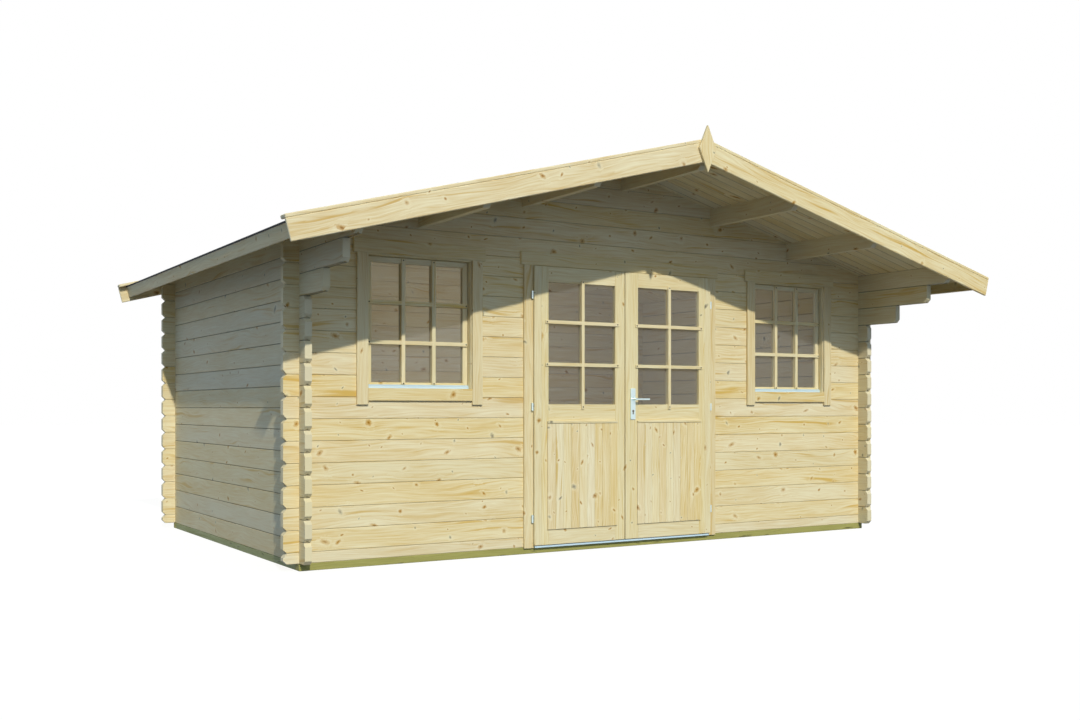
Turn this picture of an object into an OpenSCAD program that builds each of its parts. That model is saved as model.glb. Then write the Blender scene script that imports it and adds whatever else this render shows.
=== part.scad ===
// Garden log cabin: low pitched roof with a deep front canopy, notched and grooved log walls,
// a glazed double door between two barred windows. Millimetres, +Z up, the front faces -Y.
// The origin lies on the ground under the middle of the roof.

/* [Walls] */
// outside width of the log walls along the front
wall_w = 4820; // [4500:10:5200]
// outside depth of the log walls from front to back
wall_d = 3000; // [2400:50:3600]
// thickness of a log
log_t = 45; // [40:1:55]
// height of one course of logs
log_h = 135; // [128:1:140]
// full courses in a side wall
side_courses = 15; // [14:1:16]
// reach of the log ends past the corners
log_ear = 100; // [70:5:130]
// bevel on the log ends
end_bevel = 25; // [10:1:30]
// small bevel along the long edges of a log
edge_bevel = 4; // [2:0.5:6]
// width of the tongue along the top of a log
tongue_w = 14; // [10:1:16]
// height of the tongue along the top of a log
tongue_h = 8; // [5:1:12]
// reach of the lowest canopy log past the front wall
bracket_low = 394; // [250:10:480]
// reach of the middle canopy log past the front wall
bracket_mid = 697; // [550:10:780]

/* [Base] */
// height of the ground beams
beam_h = 45; // [40:1:70]
// width of the ground beams
beam_w = 70; // [60:5:95]
// floor joists between the ground beams
joist_count = 7; // [5:1:9]
// width of a floor joist
joist_w = 45; // [40:1:70]
// thickness of the floor boards
floor_t = 18; // [16:1:22]

/* [Roof] */
// slope of the roof in degrees
roof_pitch = 14.6; // [12:0.2:18]
// reach of the roof boards past the side walls
eave_overhang = 336; // [300:2:500]
// reach of the roof boards past the front wall
front_overhang = 896; // [840:4:1000]
// reach of the roof boards past the back wall
rear_overhang = 180; // [150:5:300]
// thickness of the roof boards
deck_t = 19; // [16:1:22]
// thickness of the roofing felt
felt_t = 3; // [2:0.5:5]
// width of a purlin
purlin_t = 45; // [40:1:60]
// height of a purlin at its tall side
purlin_h = 130; // [110:1:150]
// height of the ridge purlin
ridge_h = 150; // [130:1:180]
// place of the upper purlins, as a part of the way from the ridge to the side walls
upper_purlin_part = 0.343; // [0.3:0.001:0.4]
// place of the lower purlins, as a part of the way from the ridge to the side walls
lower_purlin_part = 0.667; // [0.6:0.001:0.72]
// distance of the beam ends behind the bargeboards
beam_setback = 13; // [5:1:30]
// width of a bargeboard
barge_w = 125; // [100:1:140]
// thickness of a bargeboard
barge_t = 20; // [16:1:26]
// reach of the bargeboards past the eave boards
barge_past = 62; // [20:1:100]
// thickness of the strip that covers the roof edge
strip_t = 22; // [14:1:24]
// depth of the strip that covers the roof edge
strip_d = 74; // [50:1:100]
// width of an eave board
eave_w = 92; // [80:1:110]
// thickness of an eave board
eave_t = 18; // [14:1:24]
// width of the gable diamond
finial_w = 140; // [110:2:180]
// height of the gable diamond
finial_h = 310; // [240:5:360]
// thickness of the gable diamond
finial_t = 20; // [14:1:26]
// distance of the middle of the diamond below the top of the roof's inside
finial_drop = 25; // [0:1:40]

/* [Windows] */
// width of a window opening in the logs
window_w = 790; // [700:5:830]
// distance of a window from the midway between door and corner, towards the door
window_shift = 5; // [0:1:20]
// courses of the front wall under a window, with its half log
sill_courses = 8; // [7:1:9]
// thickness of the sides of a window frame
window_jamb_t = 32; // [28:1:40]
// thickness of the top of a window frame
window_head_t = 52; // [45:1:60]
// thickness of the sill of a window frame
window_sill_t = 56; // [45:1:65]
// depth of a window frame from the wall's outer face
window_frame_d = 80; // [76:1:95]
// distance of the sash behind the wall's outer face
sash_inset = 40; // [30:1:40]
// thickness of the sash
sash_t = 35; // [30:1:36]
// width of the sash members
sash_w = 38; // [32:1:48]
// thickness of the panes
glass_t = 4; // [3:0.5:6]
// depth to which the panes sit in their grooves
glass_seat = 8; // [5:1:10]
// height of the drip rail at the foot of a sash
drip_h = 24; // [16:1:30]
// reach of the drip rail in front of a sash
drip_d = 12; // [8:1:18]

/* [Trims] */
// thickness of the trims on the wall's outer face
trim_t = 18; // [14:1:19]
// width of the upright trims
trim_w = 76; // [65:1:90]
// part of the frames that the trims over the openings cover
head_lap = 43.5; // [40:0.5:46]
// height of the trims over the openings
head_trim_h = 90; // [70:1:100]
// reach of the trims over the openings past the upright trims
head_trim_ear = 22; // [10:1:30]
// height of the trim under a window
sill_trim_h = 79; // [60:1:90]
// reach of the upright window trims below the sill trim
trim_foot = 25; // [10:1:35]
// reach of the door trims below the walls
door_trim_foot = 7; // [0:1:12]
// part of a window frame that shows beside the trims
trim_reveal = 5; // [3:1:10]

/* [Door] */
// width of the door opening in the logs
door_w = 1590; // [1480:10:1680]
// thickness of a door jamb in front of its stop
jamb_t = 36; // [32:1:45]
// step of the door frame behind the leaves
stop_w = 17; // [12:1:20]
// gap around the moving leaves
leaf_gap = 5; // [5:0.5:7]
// gap between the two leaves
meeting_gap = 8; // [7:0.5:10]
// distance of the meeting line from the middle
meeting_x = 15; // [0:1:20]
// thickness of a leaf, and its reach in front of the wall's outer face
leaf_t = 40; // [38:1:48]
// width of the lip that laps over the trims
lip_w = 14; // [10:1:14]
// width of an outer stile without its lip
stile_w = 98; // [90:1:115]
// width of the inner stile that carries the handle
lock_stile_w = 111; // [104:1:125]
// height of the bottom rail
bottom_rail_h = 115; // [90:1:140]
// height of the middle rail's lower edge above the leaf's foot
panel_top = 815; // [750:1:840]
// height of the middle rail
mid_rail_h = 142; // [130:1:160]
// height of the top rail
top_rail_h = 104; // [90:1:130]
// thickness of the boarded panel on the front of a leaf
panel_t = 10; // [8:1:16]
// part of the stiles and rails that the boarded panel covers
panel_lap = 12; // [8:1:16]
// height of the drip strip over the boarded panel
drip_strip_h = 17; // [12:1:20]
// reach of the drip strip in front of a leaf
drip_strip_d = 16; // [12:1:20]
// thickness of the threshold
threshold_t = 7; // [4:0.5:9]
// reach of the threshold in front of the wall
threshold_d = 30; // [20:1:36]
// height of the threshold's front edge
threshold_h = 12; // [10:1:20]
// thickness of the threshold's front edge
threshold_lip = 4; // [3:0.5:6]

/* [Hinges] */
// height of the lowest hinge above the leaf's foot
hinge_low = 181; // [150:1:260]
// distance of the highest hinge below the leaf's top
hinge_high = 198; // [150:1:260]
// distance of the hinge pins outside the leaf's lip
pin_out = 10; // [9:0.5:11]
// distance of the hinge pins in front of the wall's outer face
pin_front = 29; // [27:0.5:31]
// diameter of a hinge barrel
barrel_d = 15; // [13:0.5:16]
// height of a hinge barrel
barrel_h = 53; // [44:1:70]
// diameter of a hinge pin
pin_d = 8; // [6:0.5:9]
// diameter of the studs that hold a hinge
stud_d = 6; // [4:0.5:7]
// length of the studs in the wood
stud_l = 40; // [25:1:48]

/* [Handle] */
// distance of the handle from the leaf's meeting edge
handle_in = 61; // [50:1:66]
// height of the lever above the leaf's foot
lever_z = 995; // [985:1:1010]
// width of a handle plate
plate_w = 42; // [34:1:48]
// height of a handle plate
plate_h = 222; // [200:2:250]
// thickness of a handle plate
plate_t = 8; // [5:0.5:10]
// radius of the corners of a handle plate
plate_r = 6; // [2:0.5:12]
// height of the lever above the plate's middle
lever_up = 34; // [20:1:50]
// length of the lever
lever_l = 118; // [100:1:140]
// diameter of the lever's neck
neck_d = 18; // [15:0.5:21]
// distance of the lever's grip in front of its plate
neck_l = 32; // [26:1:45]
// height of the lever's grip
grip_h = 14; // [12:1:20]
// thickness of the lever's grip
grip_t = 12; // [10:1:16]
// edge of the square spindle
spindle_w = 8; // [6:0.5:9]
// distance of the lock below the lever
lock_drop = 85; // [70:1:92]
// diameter of the lock
lock_d = 17; // [14:0.5:20]
// reach of the lock in front of the plates
lock_out = 1; // [0.5:0.25:2]
// width of a key slot
key_w = 2; // [1.5:0.25:3]
// depth of a key slot
key_d = 4; // [3:0.5:6]

/* [Fits] */
// gap between pieces that lie against each other
fit = 0.3; // [0.2:0.05:0.5]
// side play of a tongue in its groove
groove_play = 0.5; // [0.3:0.1:0.9]
// radial play of the hinge pins
pin_play = 0.06; // [0.03:0.01:0.1]
// radial play of the lever's neck and the lock in their holes
neck_play = 0.4; // [0.2:0.05:0.6]

/* [Hidden] */
$fn = 64;
half_w = wall_w / 2;
slope_len = (half_w + eave_overhang) / cos(roof_pitch);
barge_len = slope_len + barge_past;
front_reach = front_overhang + barge_t + finial_t + fit;
back_reach = rear_overhang + barge_t + finial_t + fit;
front_y = -(wall_d + back_reach - front_reach) / 2;
base_z = beam_h + fit;
notch_h = log_h / 4 + fit / 2;
wall_top = base_z + side_courses * log_h;
head_z = base_z + (side_courses - 0.5) * log_h;
sill_z = base_z + (sill_courses - 0.5) * log_h;
// the roof boards lie on the inner top edges of the side walls
apex_z = wall_top + (half_w - log_t) * tan(roof_pitch);
upper_purlin_x = upper_purlin_part * (half_w - log_t / 2);
lower_purlin_x = lower_purlin_part * (half_w - log_t / 2);
gable_last = round((apex_z - base_z) / log_h - 0.5);
purlin_front = front_overhang - beam_setback;
purlin_back = rear_overhang - beam_setback;
roof_y0 = -front_overhang;
roof_y1 = wall_d + rear_overhang;

// a window stands about midway between the door and the corner, and its middle places its pieces
window_x = (door_w / 2 + half_w) / 2 - window_shift;
frame_hw = window_w / 2 - fit;
frame_lo = sill_z + fit;
frame_hi = head_z - fit;
sash_hw = frame_hw - window_jamb_t - fit;
sash_lo = frame_lo + window_sill_t + fit;
sash_hi = frame_hi - window_head_t - fit;
trim_in = frame_hw - window_jamb_t + trim_reveal;
trim_out = trim_in + trim_w;
head_trim_lo = head_z - head_lap;
sill_trim_hi = sash_lo - fit;

// door frame and leaves
door_hw = door_w / 2 - fit;
jamb_x = door_hw - jamb_t;
stop_x = jamb_x - stop_w;
body_x = jamb_x - leaf_gap;
lip_x = body_x + lip_w;
lip_back = trim_t + fit + leaf_gap;
field_x1 = body_x - stile_w;
meet_right = -meeting_x + meeting_gap / 2;
meet_left = meeting_x + meeting_gap / 2;
field_x0 = meet_right + lock_stile_w;
leaf_lo = base_z + threshold_t + leaf_gap;
leaf_hi = head_trim_lo - leaf_gap;
panel_lo = leaf_lo + bottom_rail_h;
panel_hi = leaf_lo + panel_top;
pane_lo = panel_hi + mid_rail_h;
pane_hi = leaf_hi - top_rail_h;
pin_x = lip_x + pin_out;
handle_x = meet_right + handle_in;
lever_at = leaf_lo + lever_z;
plate_mid = lever_at - lever_up;

// moves to the front wall: y is 0 on its outer face and negative in front of it
module at_front() {
    translate([0, front_y, 0]) children();
}

// the same place at the back wall, seen from outside
module at_back() {
    translate([0, front_y + wall_d, 0]) mirror([0, 1, 0]) children();
}

module block(x, y, z) {
    translate([x[0], y[0], z[0]]) cube([x[1] - x[0], y[1] - y[0], z[1] - z[0]]);
}

// an outline in x and z, drawn out from y0 to y1
module along_y(y0, y1) {
    translate([0, y1, 0]) rotate([90, 0, 0]) linear_extrude(height = y1 - y0) children();
}

// an outline in y and z, drawn out from x0 to x1
module along_x(x0, x1) {
    translate([x0, 0, 0]) rotate([90, 0, 90]) linear_extrude(height = x1 - x0) children();
}

// cross section of a log, with its groove below and its tongue on top
function log_section(h, groove, tongue) = concat(
    [[edge_bevel, 0]],
    groove ? [
        [(log_t - tongue_w) / 2 - groove_play, 0],
        [(log_t - tongue_w) / 2 - groove_play, tongue_h + groove_play],
        [(log_t + tongue_w) / 2 + groove_play, tongue_h + groove_play],
        [(log_t + tongue_w) / 2 + groove_play, 0]
    ] : [],
    [
        [log_t - edge_bevel, 0], [log_t, edge_bevel],
        [log_t, h - fit - edge_bevel], [log_t - edge_bevel, h - fit]
    ],
    tongue ? [
        [(log_t + tongue_w) / 2, h - fit],
        [(log_t + tongue_w) / 2, h - fit + tongue_h],
        [(log_t - tongue_w) / 2, h - fit + tongue_h],
        [(log_t - tongue_w) / 2, h - fit]
    ] : [],
    [[edge_bevel, h - fit], [0, h - fit - edge_bevel], [0, edge_bevel]]
);

// side outline of a log, which bevels the ends that stand free
function log_outline(a, b, h, bevels) = let (m = tongue_h + 2, c = end_bevel, t = h - fit) concat(
    bevels[0] ? [[a, c], [a + c + m, -m]] : [[a, -m]],
    bevels[2] ? [[b - c - m, -m], [b, c]] : [[b, -m]],
    bevels[3] ? [[b, t - c], [b - c - m, t + m]] : [[b, t + m]],
    bevels[1] ? [[a + c + m, t + m], [a, t - c]] : [[a, t + m]]
);

// a log from a to b, notched where the logs of the crossing walls pass;
// bevels: start low, start high, end low, end high; notch: from, to, below, above
module log(a, b, z, h, groove, tongue, bevels, notches) {
    translate([0, 0, z]) difference() {
        intersection() {
            along_x(a, b) polygon(log_section(h, groove, tongue));
            along_y(-1, log_t + 1) polygon(log_outline(a, b, h, bevels));
        }
        for (n = notches) {
            if (n[2]) block([n[0] - fit, n[1] + fit], [-2, log_t + 2], [-1, notch_h]);
            if (n[3]) block([n[0] - fit, n[1] + fit], [-2, log_t + 2], [h - notch_h, h + tongue_h + 1]);
        }
    }
}

function cross_log_z(k) = k == 0 ? base_z : base_z + (k - 0.5) * log_h;
function cross_log_h(k) = k == 0 ? log_h / 2 : log_h;
function in_window(k) = k >= sill_courses;

// everything above the inside of the roof
module above_roof() {
    x = half_w + 2 * eave_overhang;
    z = apex_z - fit / cos(roof_pitch);
    along_y(-2 * front_overhang, wall_d + 2 * front_overhang) polygon([
        [-x, z - x * tan(roof_pitch)], [0, z], [x, z - x * tan(roof_pitch)],
        [x, z + half_w], [-x, z + half_w]
    ]);
}

// logs of the front wall beside the door, on the right
module front_side_logs() {
    crossing = [half_w - log_t, half_w];
    for (k = [0 : side_courses - 1]) {
        z = cross_log_z(k);
        h = cross_log_h(k);
        if (in_window(k)) {
            log(door_w / 2, window_x - window_w / 2, z, h, true, true, [0, 0, 0, 0], []);
            log(window_x + window_w / 2, half_w + log_ear, z, h, true, true, [0, 0, 1, 1],
                [[crossing[0], crossing[1], true, true]]);
        } else {
            difference() {
                log(door_w / 2, half_w + log_ear, z, h, k > 0, true, [0, 0, 1, 1],
                    [[crossing[0], crossing[1], k > 0, true]]);
                // the tongue is planed off under the window
                if (k == sill_courses - 1) {
                    block([window_x - window_w / 2, window_x + window_w / 2], [-2, log_t + 2],
                        [sill_z - fit, sill_z + log_h]);
                }
            }
        }
    }
}

module front_wall_right_logs() {
    color("BurlyWood") at_front() front_side_logs();
}

module front_wall_left_logs() {
    color("BurlyWood") mirror([1, 0, 0]) at_front() front_side_logs();
}

// logs of a gable, between the side walls and under the roof
module gable_logs() {
    x = half_w - log_t - fit;
    difference() {
        for (k = [side_courses : gable_last]) {
            z = cross_log_z(k);
            h = k == gable_last ? apex_z - z + log_h : log_h;
            log(-x, x, z, h, true, k < gable_last, [0, 0, 0, 0], []);
        }
        above_roof();
        purlin_pockets();
    }
}

// room for the purlins in the gables
module purlin_pockets() {
    for (p = concat([[0, ridge_lo]], [for (s = [-1, 1]) for (q = purlins) [s * q[0], q[1]]])) {
        block([p[0] - purlin_t / 2 - fit, p[0] + purlin_t / 2 + fit], [-log_t, 2 * log_t],
            [p[1] - fit, apex_z + log_h]);
    }
}

ridge_lo = apex_z - ridge_h;
function purlin_lo(x) = apex_z - (x - purlin_t / 2) * tan(roof_pitch) - purlin_h;
purlins = [[upper_purlin_x, purlin_lo(upper_purlin_x)], [lower_purlin_x, purlin_lo(lower_purlin_x)]];

module front_gable_logs() {
    color("BurlyWood") at_front() gable_logs();
}

module back_gable_logs() {
    color("BurlyWood") at_back() gable_logs();
}

module back_wall_logs() {
    color("BurlyWood") at_back() for (k = [0 : side_courses - 1]) {
        log(-half_w - log_ear, half_w + log_ear, cross_log_z(k), cross_log_h(k), k > 0, true,
            [1, 1, 1, 1],
            [[-half_w, log_t - half_w, k > 0, true], [half_w - log_t, half_w, k > 0, true]]);
    }
}

// reach of a side log past the front wall: the top three carry the canopy
function side_reach(j) =
    j == side_courses - 1 ? purlin_front :
    j == side_courses - 2 ? bracket_mid :
    j == side_courses - 3 ? bracket_low : log_ear;

module side_logs() {
    difference() {
        at_front() translate([half_w, 0, 0]) rotate([0, 0, 90]) for (j = [0 : side_courses - 1]) {
            top = j == side_courses - 1;
            log(-side_reach(j), wall_d + (top ? purlin_back : log_ear), base_z + j * log_h,
                top ? 1.5 * log_h : log_h, j > 0, !top, [1, j < side_courses - 3, 1, !top],
                [[0, log_t, true, !top], [wall_d - log_t, wall_d, true, !top]]);
        }
        at_front() above_roof();
    }
}

module right_wall_logs() {
    color("Tan") side_logs();
}

module left_wall_logs() {
    color("Tan") mirror([1, 0, 0]) side_logs();
}

module ground_beams() {
    color("DarkKhaki") at_front() {
        for (y = [0, wall_d - beam_w]) block([-half_w, half_w], [y, y + beam_w], [0, beam_h]);
        for (x = [-half_w, half_w - beam_w]) {
            block([x, x + beam_w], [beam_w + fit, wall_d - beam_w - fit], [0, beam_h]);
        }
    }
}

module floor_joists() {
    room = wall_w - 2 * beam_w;
    color("DarkKhaki") at_front() for (i = [1 : joist_count]) {
        x = -room / 2 + room * i / (joist_count + 1);
        block([x - joist_w / 2, x + joist_w / 2], [beam_w + fit, wall_d - beam_w - fit], [0, beam_h]);
    }
}

module floor_deck() {
    x = half_w - log_t - fit;
    color("Wheat") at_front()
        block([-x, x], [log_t + fit, wall_d - log_t - fit], [base_z, base_z + floor_t]);
}

// a point s down the right slope and n above the inside of the roof
function on_slope(s, n) = [
    s * cos(roof_pitch) + n * sin(roof_pitch),
    apex_z - s * sin(roof_pitch) + n * cos(roof_pitch)
];
function at_ridge(n) = on_slope((fit - n * sin(roof_pitch)) / cos(roof_pitch), n);

// a sheet on the right slope from the ridge to s, between the levels n0 and n1
module slope_sheet(s, n0, n1, y0, y1) {
    along_y(y0, y1) polygon([at_ridge(n0), on_slope(s, n0), on_slope(s, n1), at_ridge(n1)]);
}

module both_sides() {
    children();
    mirror([1, 0, 0]) children();
}

felt_lo = deck_t + fit;
felt_hi = felt_lo + felt_t;
strip_lo = felt_hi + fit;

module right_roof_boards() {
    color("Moccasin") at_front() slope_sheet(slope_len - eave_t - fit, 0, deck_t, roof_y0, roof_y1);
}

module left_roof_boards() {
    color("Moccasin") mirror([1, 0, 0]) at_front()
        slope_sheet(slope_len - eave_t - fit, 0, deck_t, roof_y0, roof_y1);
}

module roof_felt() {
    color("DimGray") both_sides() at_front() slope_sheet(slope_len, felt_lo, felt_hi, roof_y0, roof_y1);
}

module eave_boards() {
    color("Wheat") both_sides() at_front() along_y(roof_y0, roof_y1) polygon([
        on_slope(slope_len - eave_t, deck_t - eave_w), on_slope(slope_len, deck_t - eave_w),
        on_slope(slope_len, deck_t), on_slope(slope_len - eave_t, deck_t)
    ]);
}

module bargeboards(reach) {
    color("Wheat") both_sides()
        slope_sheet(barge_len, felt_hi - barge_w, felt_hi, -reach - barge_t, -reach - fit);
}

module front_bargeboards() {
    at_front() bargeboards(front_overhang);
}

module back_bargeboards() {
    at_back() bargeboards(rear_overhang);
}

module cover_strips(reach) {
    color("Wheat") both_sides()
        slope_sheet(barge_len, strip_lo, strip_lo + strip_t, -reach - barge_t, -reach - barge_t + strip_d);
}

module front_cover_strips() {
    at_front() cover_strips(front_overhang);
}

module back_cover_strips() {
    at_back() cover_strips(rear_overhang);
}

module diamond(reach) {
    z = apex_z - finial_drop;
    along_y(-reach - barge_t - fit - finial_t, -reach - barge_t - fit) polygon([
        [0, z - finial_h / 2], [finial_w / 2, z], [0, z + finial_h / 2], [-finial_w / 2, z]
    ]);
}

module gable_diamonds() {
    color("Wheat") {
        at_front() diamond(front_overhang);
        at_back() diamond(rear_overhang);
    }
}

// a roof beam with its lower end corners cut off and its top planed to the roof
module purlin(x, z) {
    y0 = -purlin_front;
    y1 = wall_d + purlin_back;
    c = end_bevel;
    difference() {
        along_x(x - purlin_t / 2, x + purlin_t / 2) polygon([
            [y0, z + c], [y0 + c, z], [y1 - c, z], [y1, z + c],
            [y1, z + 2 * ridge_h], [y0, z + 2 * ridge_h]
        ]);
        above_roof();
    }
}

module ridge_purlin() {
    color("Wheat") at_front() purlin(0, ridge_lo);
}

module upper_purlins() {
    color("Wheat") both_sides() at_front() purlin(purlins[0][0], purlins[0][1]);
}

module lower_purlins() {
    color("Wheat") both_sides() at_front() purlin(purlins[1][0], purlins[1][1]);
}

// the right window: frame of two sides, a top and a sill
module window_frame() {
    at_front() translate([window_x, 0, 0]) {
        for (s = [-1, 1]) {
            block([s * (frame_hw - window_jamb_t / 2) - window_jamb_t / 2,
                s * (frame_hw - window_jamb_t / 2) + window_jamb_t / 2],
                [0, window_frame_d], [frame_lo + window_sill_t + fit, frame_hi - window_head_t - fit]);
        }
        block([-frame_hw, frame_hw], [0, window_frame_d], [frame_lo, frame_lo + window_sill_t]);
        block([-frame_hw, frame_hw], [0, window_frame_d], [frame_hi - window_head_t, frame_hi]);
    }
}

module right_window_frame() {
    color("Wheat") window_frame();
}

module left_window_frame() {
    color("Wheat") mirror([1, 0, 0]) window_frame();
}

pane_hw = sash_hw - sash_w + glass_seat;
pane_y = sash_inset + sash_t / 2;

// the pane of the right window, and the grooves that hold it
module window_pane(play) {
    at_front() translate([window_x, 0, 0]) block(
        [-pane_hw - play, pane_hw + play],
        [pane_y - glass_t / 2 - play, pane_y + glass_t / 2 + play],
        [sash_lo + sash_w - glass_seat - play, sash_hi - sash_w + glass_seat + play]);
}

// two stiles with two rails between them
module window_sash() {
    y = [sash_inset, sash_inset + sash_t];
    x = sash_hw - sash_w;
    difference() {
        at_front() translate([window_x, 0, 0]) {
            block([-sash_hw, -x], y, [sash_lo, sash_hi]);
            block([x, sash_hw], y, [sash_lo, sash_hi]);
            block([fit - x, x - fit], y, [sash_lo, sash_lo + sash_w]);
            block([fit - x, x - fit], y, [sash_hi - sash_w, sash_hi]);
        }
        window_pane(fit);
    }
}

module right_window_sash() {
    color("Wheat") window_sash();
}

module left_window_sash() {
    color("Wheat") mirror([1, 0, 0]) window_sash();
}

module window_glass() {
    color("LightSteelBlue", 0.5) both_sides() window_pane(0);
}

module window_drip_rails() {
    x = sash_hw - fit;
    y = sash_inset - fit;
    color("Gainsboro") both_sides() at_front() along_x(window_x - x, window_x + x) polygon([
        [y - drip_d, sash_lo + fit], [y, sash_lo + fit], [y, sash_lo + drip_h],
        [y - drip_d / 4, sash_lo + drip_h], [y - drip_d, sash_lo + drip_h / 2]
    ]);
}

// the four trims around the right window
module window_trims() {
    foot = sill_trim_hi - sill_trim_h - trim_foot;
    y = [-trim_t - fit, -fit];
    at_front() translate([window_x, 0, 0]) {
        block([-trim_out, -trim_in], y, [foot, head_trim_lo - fit]);
        block([trim_in, trim_out], y, [foot, head_trim_lo - fit]);
        block([fit - trim_in, trim_in - fit], y, [sill_trim_hi - sill_trim_h, sill_trim_hi]);
        block([-trim_out - head_trim_ear, trim_out + head_trim_ear], y,
            [head_trim_lo, head_trim_lo + head_trim_h]);
    }
}

module right_window_trims() {
    color("Moccasin") window_trims();
}

module left_window_trims() {
    color("Moccasin") mirror([1, 0, 0]) window_trims();
}

function hinge_at(i) = leaf_lo + hinge_low + (leaf_hi - hinge_high - leaf_lo - hinge_low) * i / 2;

// studs of the frame's half of the right hinges, which run back into the jamb
module frame_studs(play) {
    for (i = [0 : 2]) {
        translate([pin_x, -pin_front, hinge_at(i) - barrel_h / 4]) rotate([-90, 0, 0])
            cylinder(d = stud_d + 2 * play, h = pin_front + stud_l + play);
    }
}

// studs of the leaf's half of the right hinges, which run into the outer stile
module leaf_studs(play) {
    for (i = [0 : 2]) {
        translate([pin_x, -pin_front, hinge_at(i) + barrel_h / 4]) rotate([0, -90, 0])
            cylinder(d = stud_d + 2 * play, h = pin_out + stud_l + play);
    }
}

// two jambs stepped behind the leaves, a head stepped alike, and a sill between the jambs
module door_frame() {
    jamb = [
        [stop_x, leaf_gap], [jamb_x, leaf_gap], [jamb_x, 0], [door_hw, 0], [door_hw, log_t], [stop_x, log_t]
    ];
    hi = head_z - fit;
    step_z = head_trim_lo;
    color("Wheat") at_front() {
        both_sides() difference() {
            translate([0, 0, base_z]) linear_extrude(height = step_z - stop_w - base_z - fit) polygon(jamb);
            frame_studs(fit);
        }
        along_x(-door_hw, door_hw) polygon([
            [leaf_gap, step_z - stop_w], [log_t, step_z - stop_w], [log_t, hi],
            [0, hi], [0, step_z], [leaf_gap, step_z]
        ]);
        block([fit - stop_x, stop_x - fit], [leaf_gap, log_t], [base_z, base_z + floor_t]);
    }
}

module door_trims() {
    y = [-trim_t - fit, -fit];
    out = jamb_x + trim_w;
    color("Moccasin") at_front() {
        both_sides() difference() {
            block([jamb_x, out], y, [base_z - door_trim_foot, head_trim_lo - fit]);
            frame_studs(fit);
        }
        block([-out - head_trim_ear, out + head_trim_ear], y, [head_trim_lo, head_trim_lo + head_trim_h]);
    }
}

module door_threshold() {
    x = jamb_x - fit;
    y = leaf_gap - fit;
    z = base_z + threshold_t;
    color("Silver") at_front() along_x(-x, x) polygon([
        [-threshold_d, z - threshold_h], [threshold_lip - threshold_d, z - threshold_h],
        [threshold_lip - threshold_d, base_z], [y, base_z], [y, z], [-threshold_d, z]
    ]);
}

// lower halves of the hinges, with the pins on which the leaves hang
module door_frame_hinges() {
    color("Silver") at_front() both_sides() {
        for (i = [0 : 2]) {
            translate([pin_x, -pin_front, hinge_at(i)]) {
                translate([0, 0, -barrel_h / 2]) cylinder(d = barrel_d, h = barrel_h / 2 - fit / 2);
                translate([0, 0, -barrel_h / 4]) cylinder(d = pin_d, h = barrel_h / 2);
            }
        }
        frame_studs(0);
    }
}

// upper halves of the hinges, bored for the pins
module leaf_hinges() {
    difference() {
        union() {
            for (i = [0 : 2]) {
                translate([pin_x, -pin_front, hinge_at(i) + fit / 2])
                    cylinder(d = barrel_d, h = barrel_h / 2 - fit / 2);
            }
            leaf_studs(0);
        }
        for (i = [0 : 2]) {
            translate([pin_x, -pin_front, hinge_at(i) - 1])
                cylinder(d = pin_d + 2 * pin_play, h = barrel_h / 4 + 1 + fit);
        }
    }
}

module right_door_hinges() {
    color("Silver") at_front() leaf_hinges();
}

module left_door_hinges() {
    color("Silver") mirror([1, 0, 0]) at_front() leaf_hinges();
}

// the pane of a right leaf, and the grooves that hold it
module leaf_pane(play) {
    y = -leaf_t / 2;
    block([field_x0 - glass_seat - play, field_x1 + glass_seat + play],
        [y - glass_t / 2 - play, y + glass_t / 2 + play],
        [pane_lo - glass_seat - play, pane_hi + glass_seat + play]);
}

// boards on the front of a right leaf, which close the opening between its rails;
// a drip strip lies over them
module leaf_panel() {
    x = [field_x0 - panel_lap, field_x1 + panel_lap];
    y = -leaf_t - fit;
    z = panel_hi + panel_lap;
    block(x, [y - panel_t, y], [panel_lo - panel_lap, z]);
    block(x, [y - drip_strip_d, y], [z + fit, z + fit + drip_strip_h]);
}

// two stiles with three rails between them; the outer stile has the lip
module leaf_frame(meet) {
    x = [field_x0 + fit, field_x1 - fit];
    y = [-leaf_t, 0];
    difference() {
        union() {
            translate([0, 0, leaf_lo]) linear_extrude(height = leaf_hi - leaf_lo) polygon([
                [field_x1, 0], [field_x1, -leaf_t], [lip_x, -leaf_t],
                [lip_x, -lip_back], [body_x, -lip_back], [body_x, 0]
            ]);
            block([meet, field_x0], y, [leaf_lo, leaf_hi]);
            block(x, y, [leaf_lo, panel_lo]);
            block(x, y, [panel_hi, pane_lo]);
            block(x, y, [pane_hi, leaf_hi]);
        }
        leaf_pane(fit);
        leaf_studs(fit);
    }
}

module right_door_frame() {
    color("Wheat") at_front() difference() {
        leaf_frame(meet_right);
        handle_bores();
    }
}

module left_door_frame() {
    color("Wheat") mirror([1, 0, 0]) at_front() leaf_frame(meet_left);
}

module right_door_panel() {
    color("Moccasin") at_front() leaf_panel();
}

module left_door_panel() {
    color("Moccasin") mirror([1, 0, 0]) at_front() leaf_panel();
}

module right_door_glass() {
    color("LightSteelBlue", 0.5) at_front() leaf_pane(0);
}

module left_door_glass() {
    color("LightSteelBlue", 0.5) mirror([1, 0, 0]) at_front() leaf_pane(0);
}

// bores through the stile and the plates for the lever's neck and the lock
module handle_bores() {
    l = leaf_t + 6 * plate_t;
    translate([handle_x, 3 * plate_t, lever_at]) rotate([90, 0, 0])
        cylinder(d = neck_d + 2 * neck_play, h = l);
    translate([handle_x, 3 * plate_t, lever_at - lock_drop]) rotate([90, 0, 0])
        cylinder(d = lock_d + 2 * neck_play, h = l);
}

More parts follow.
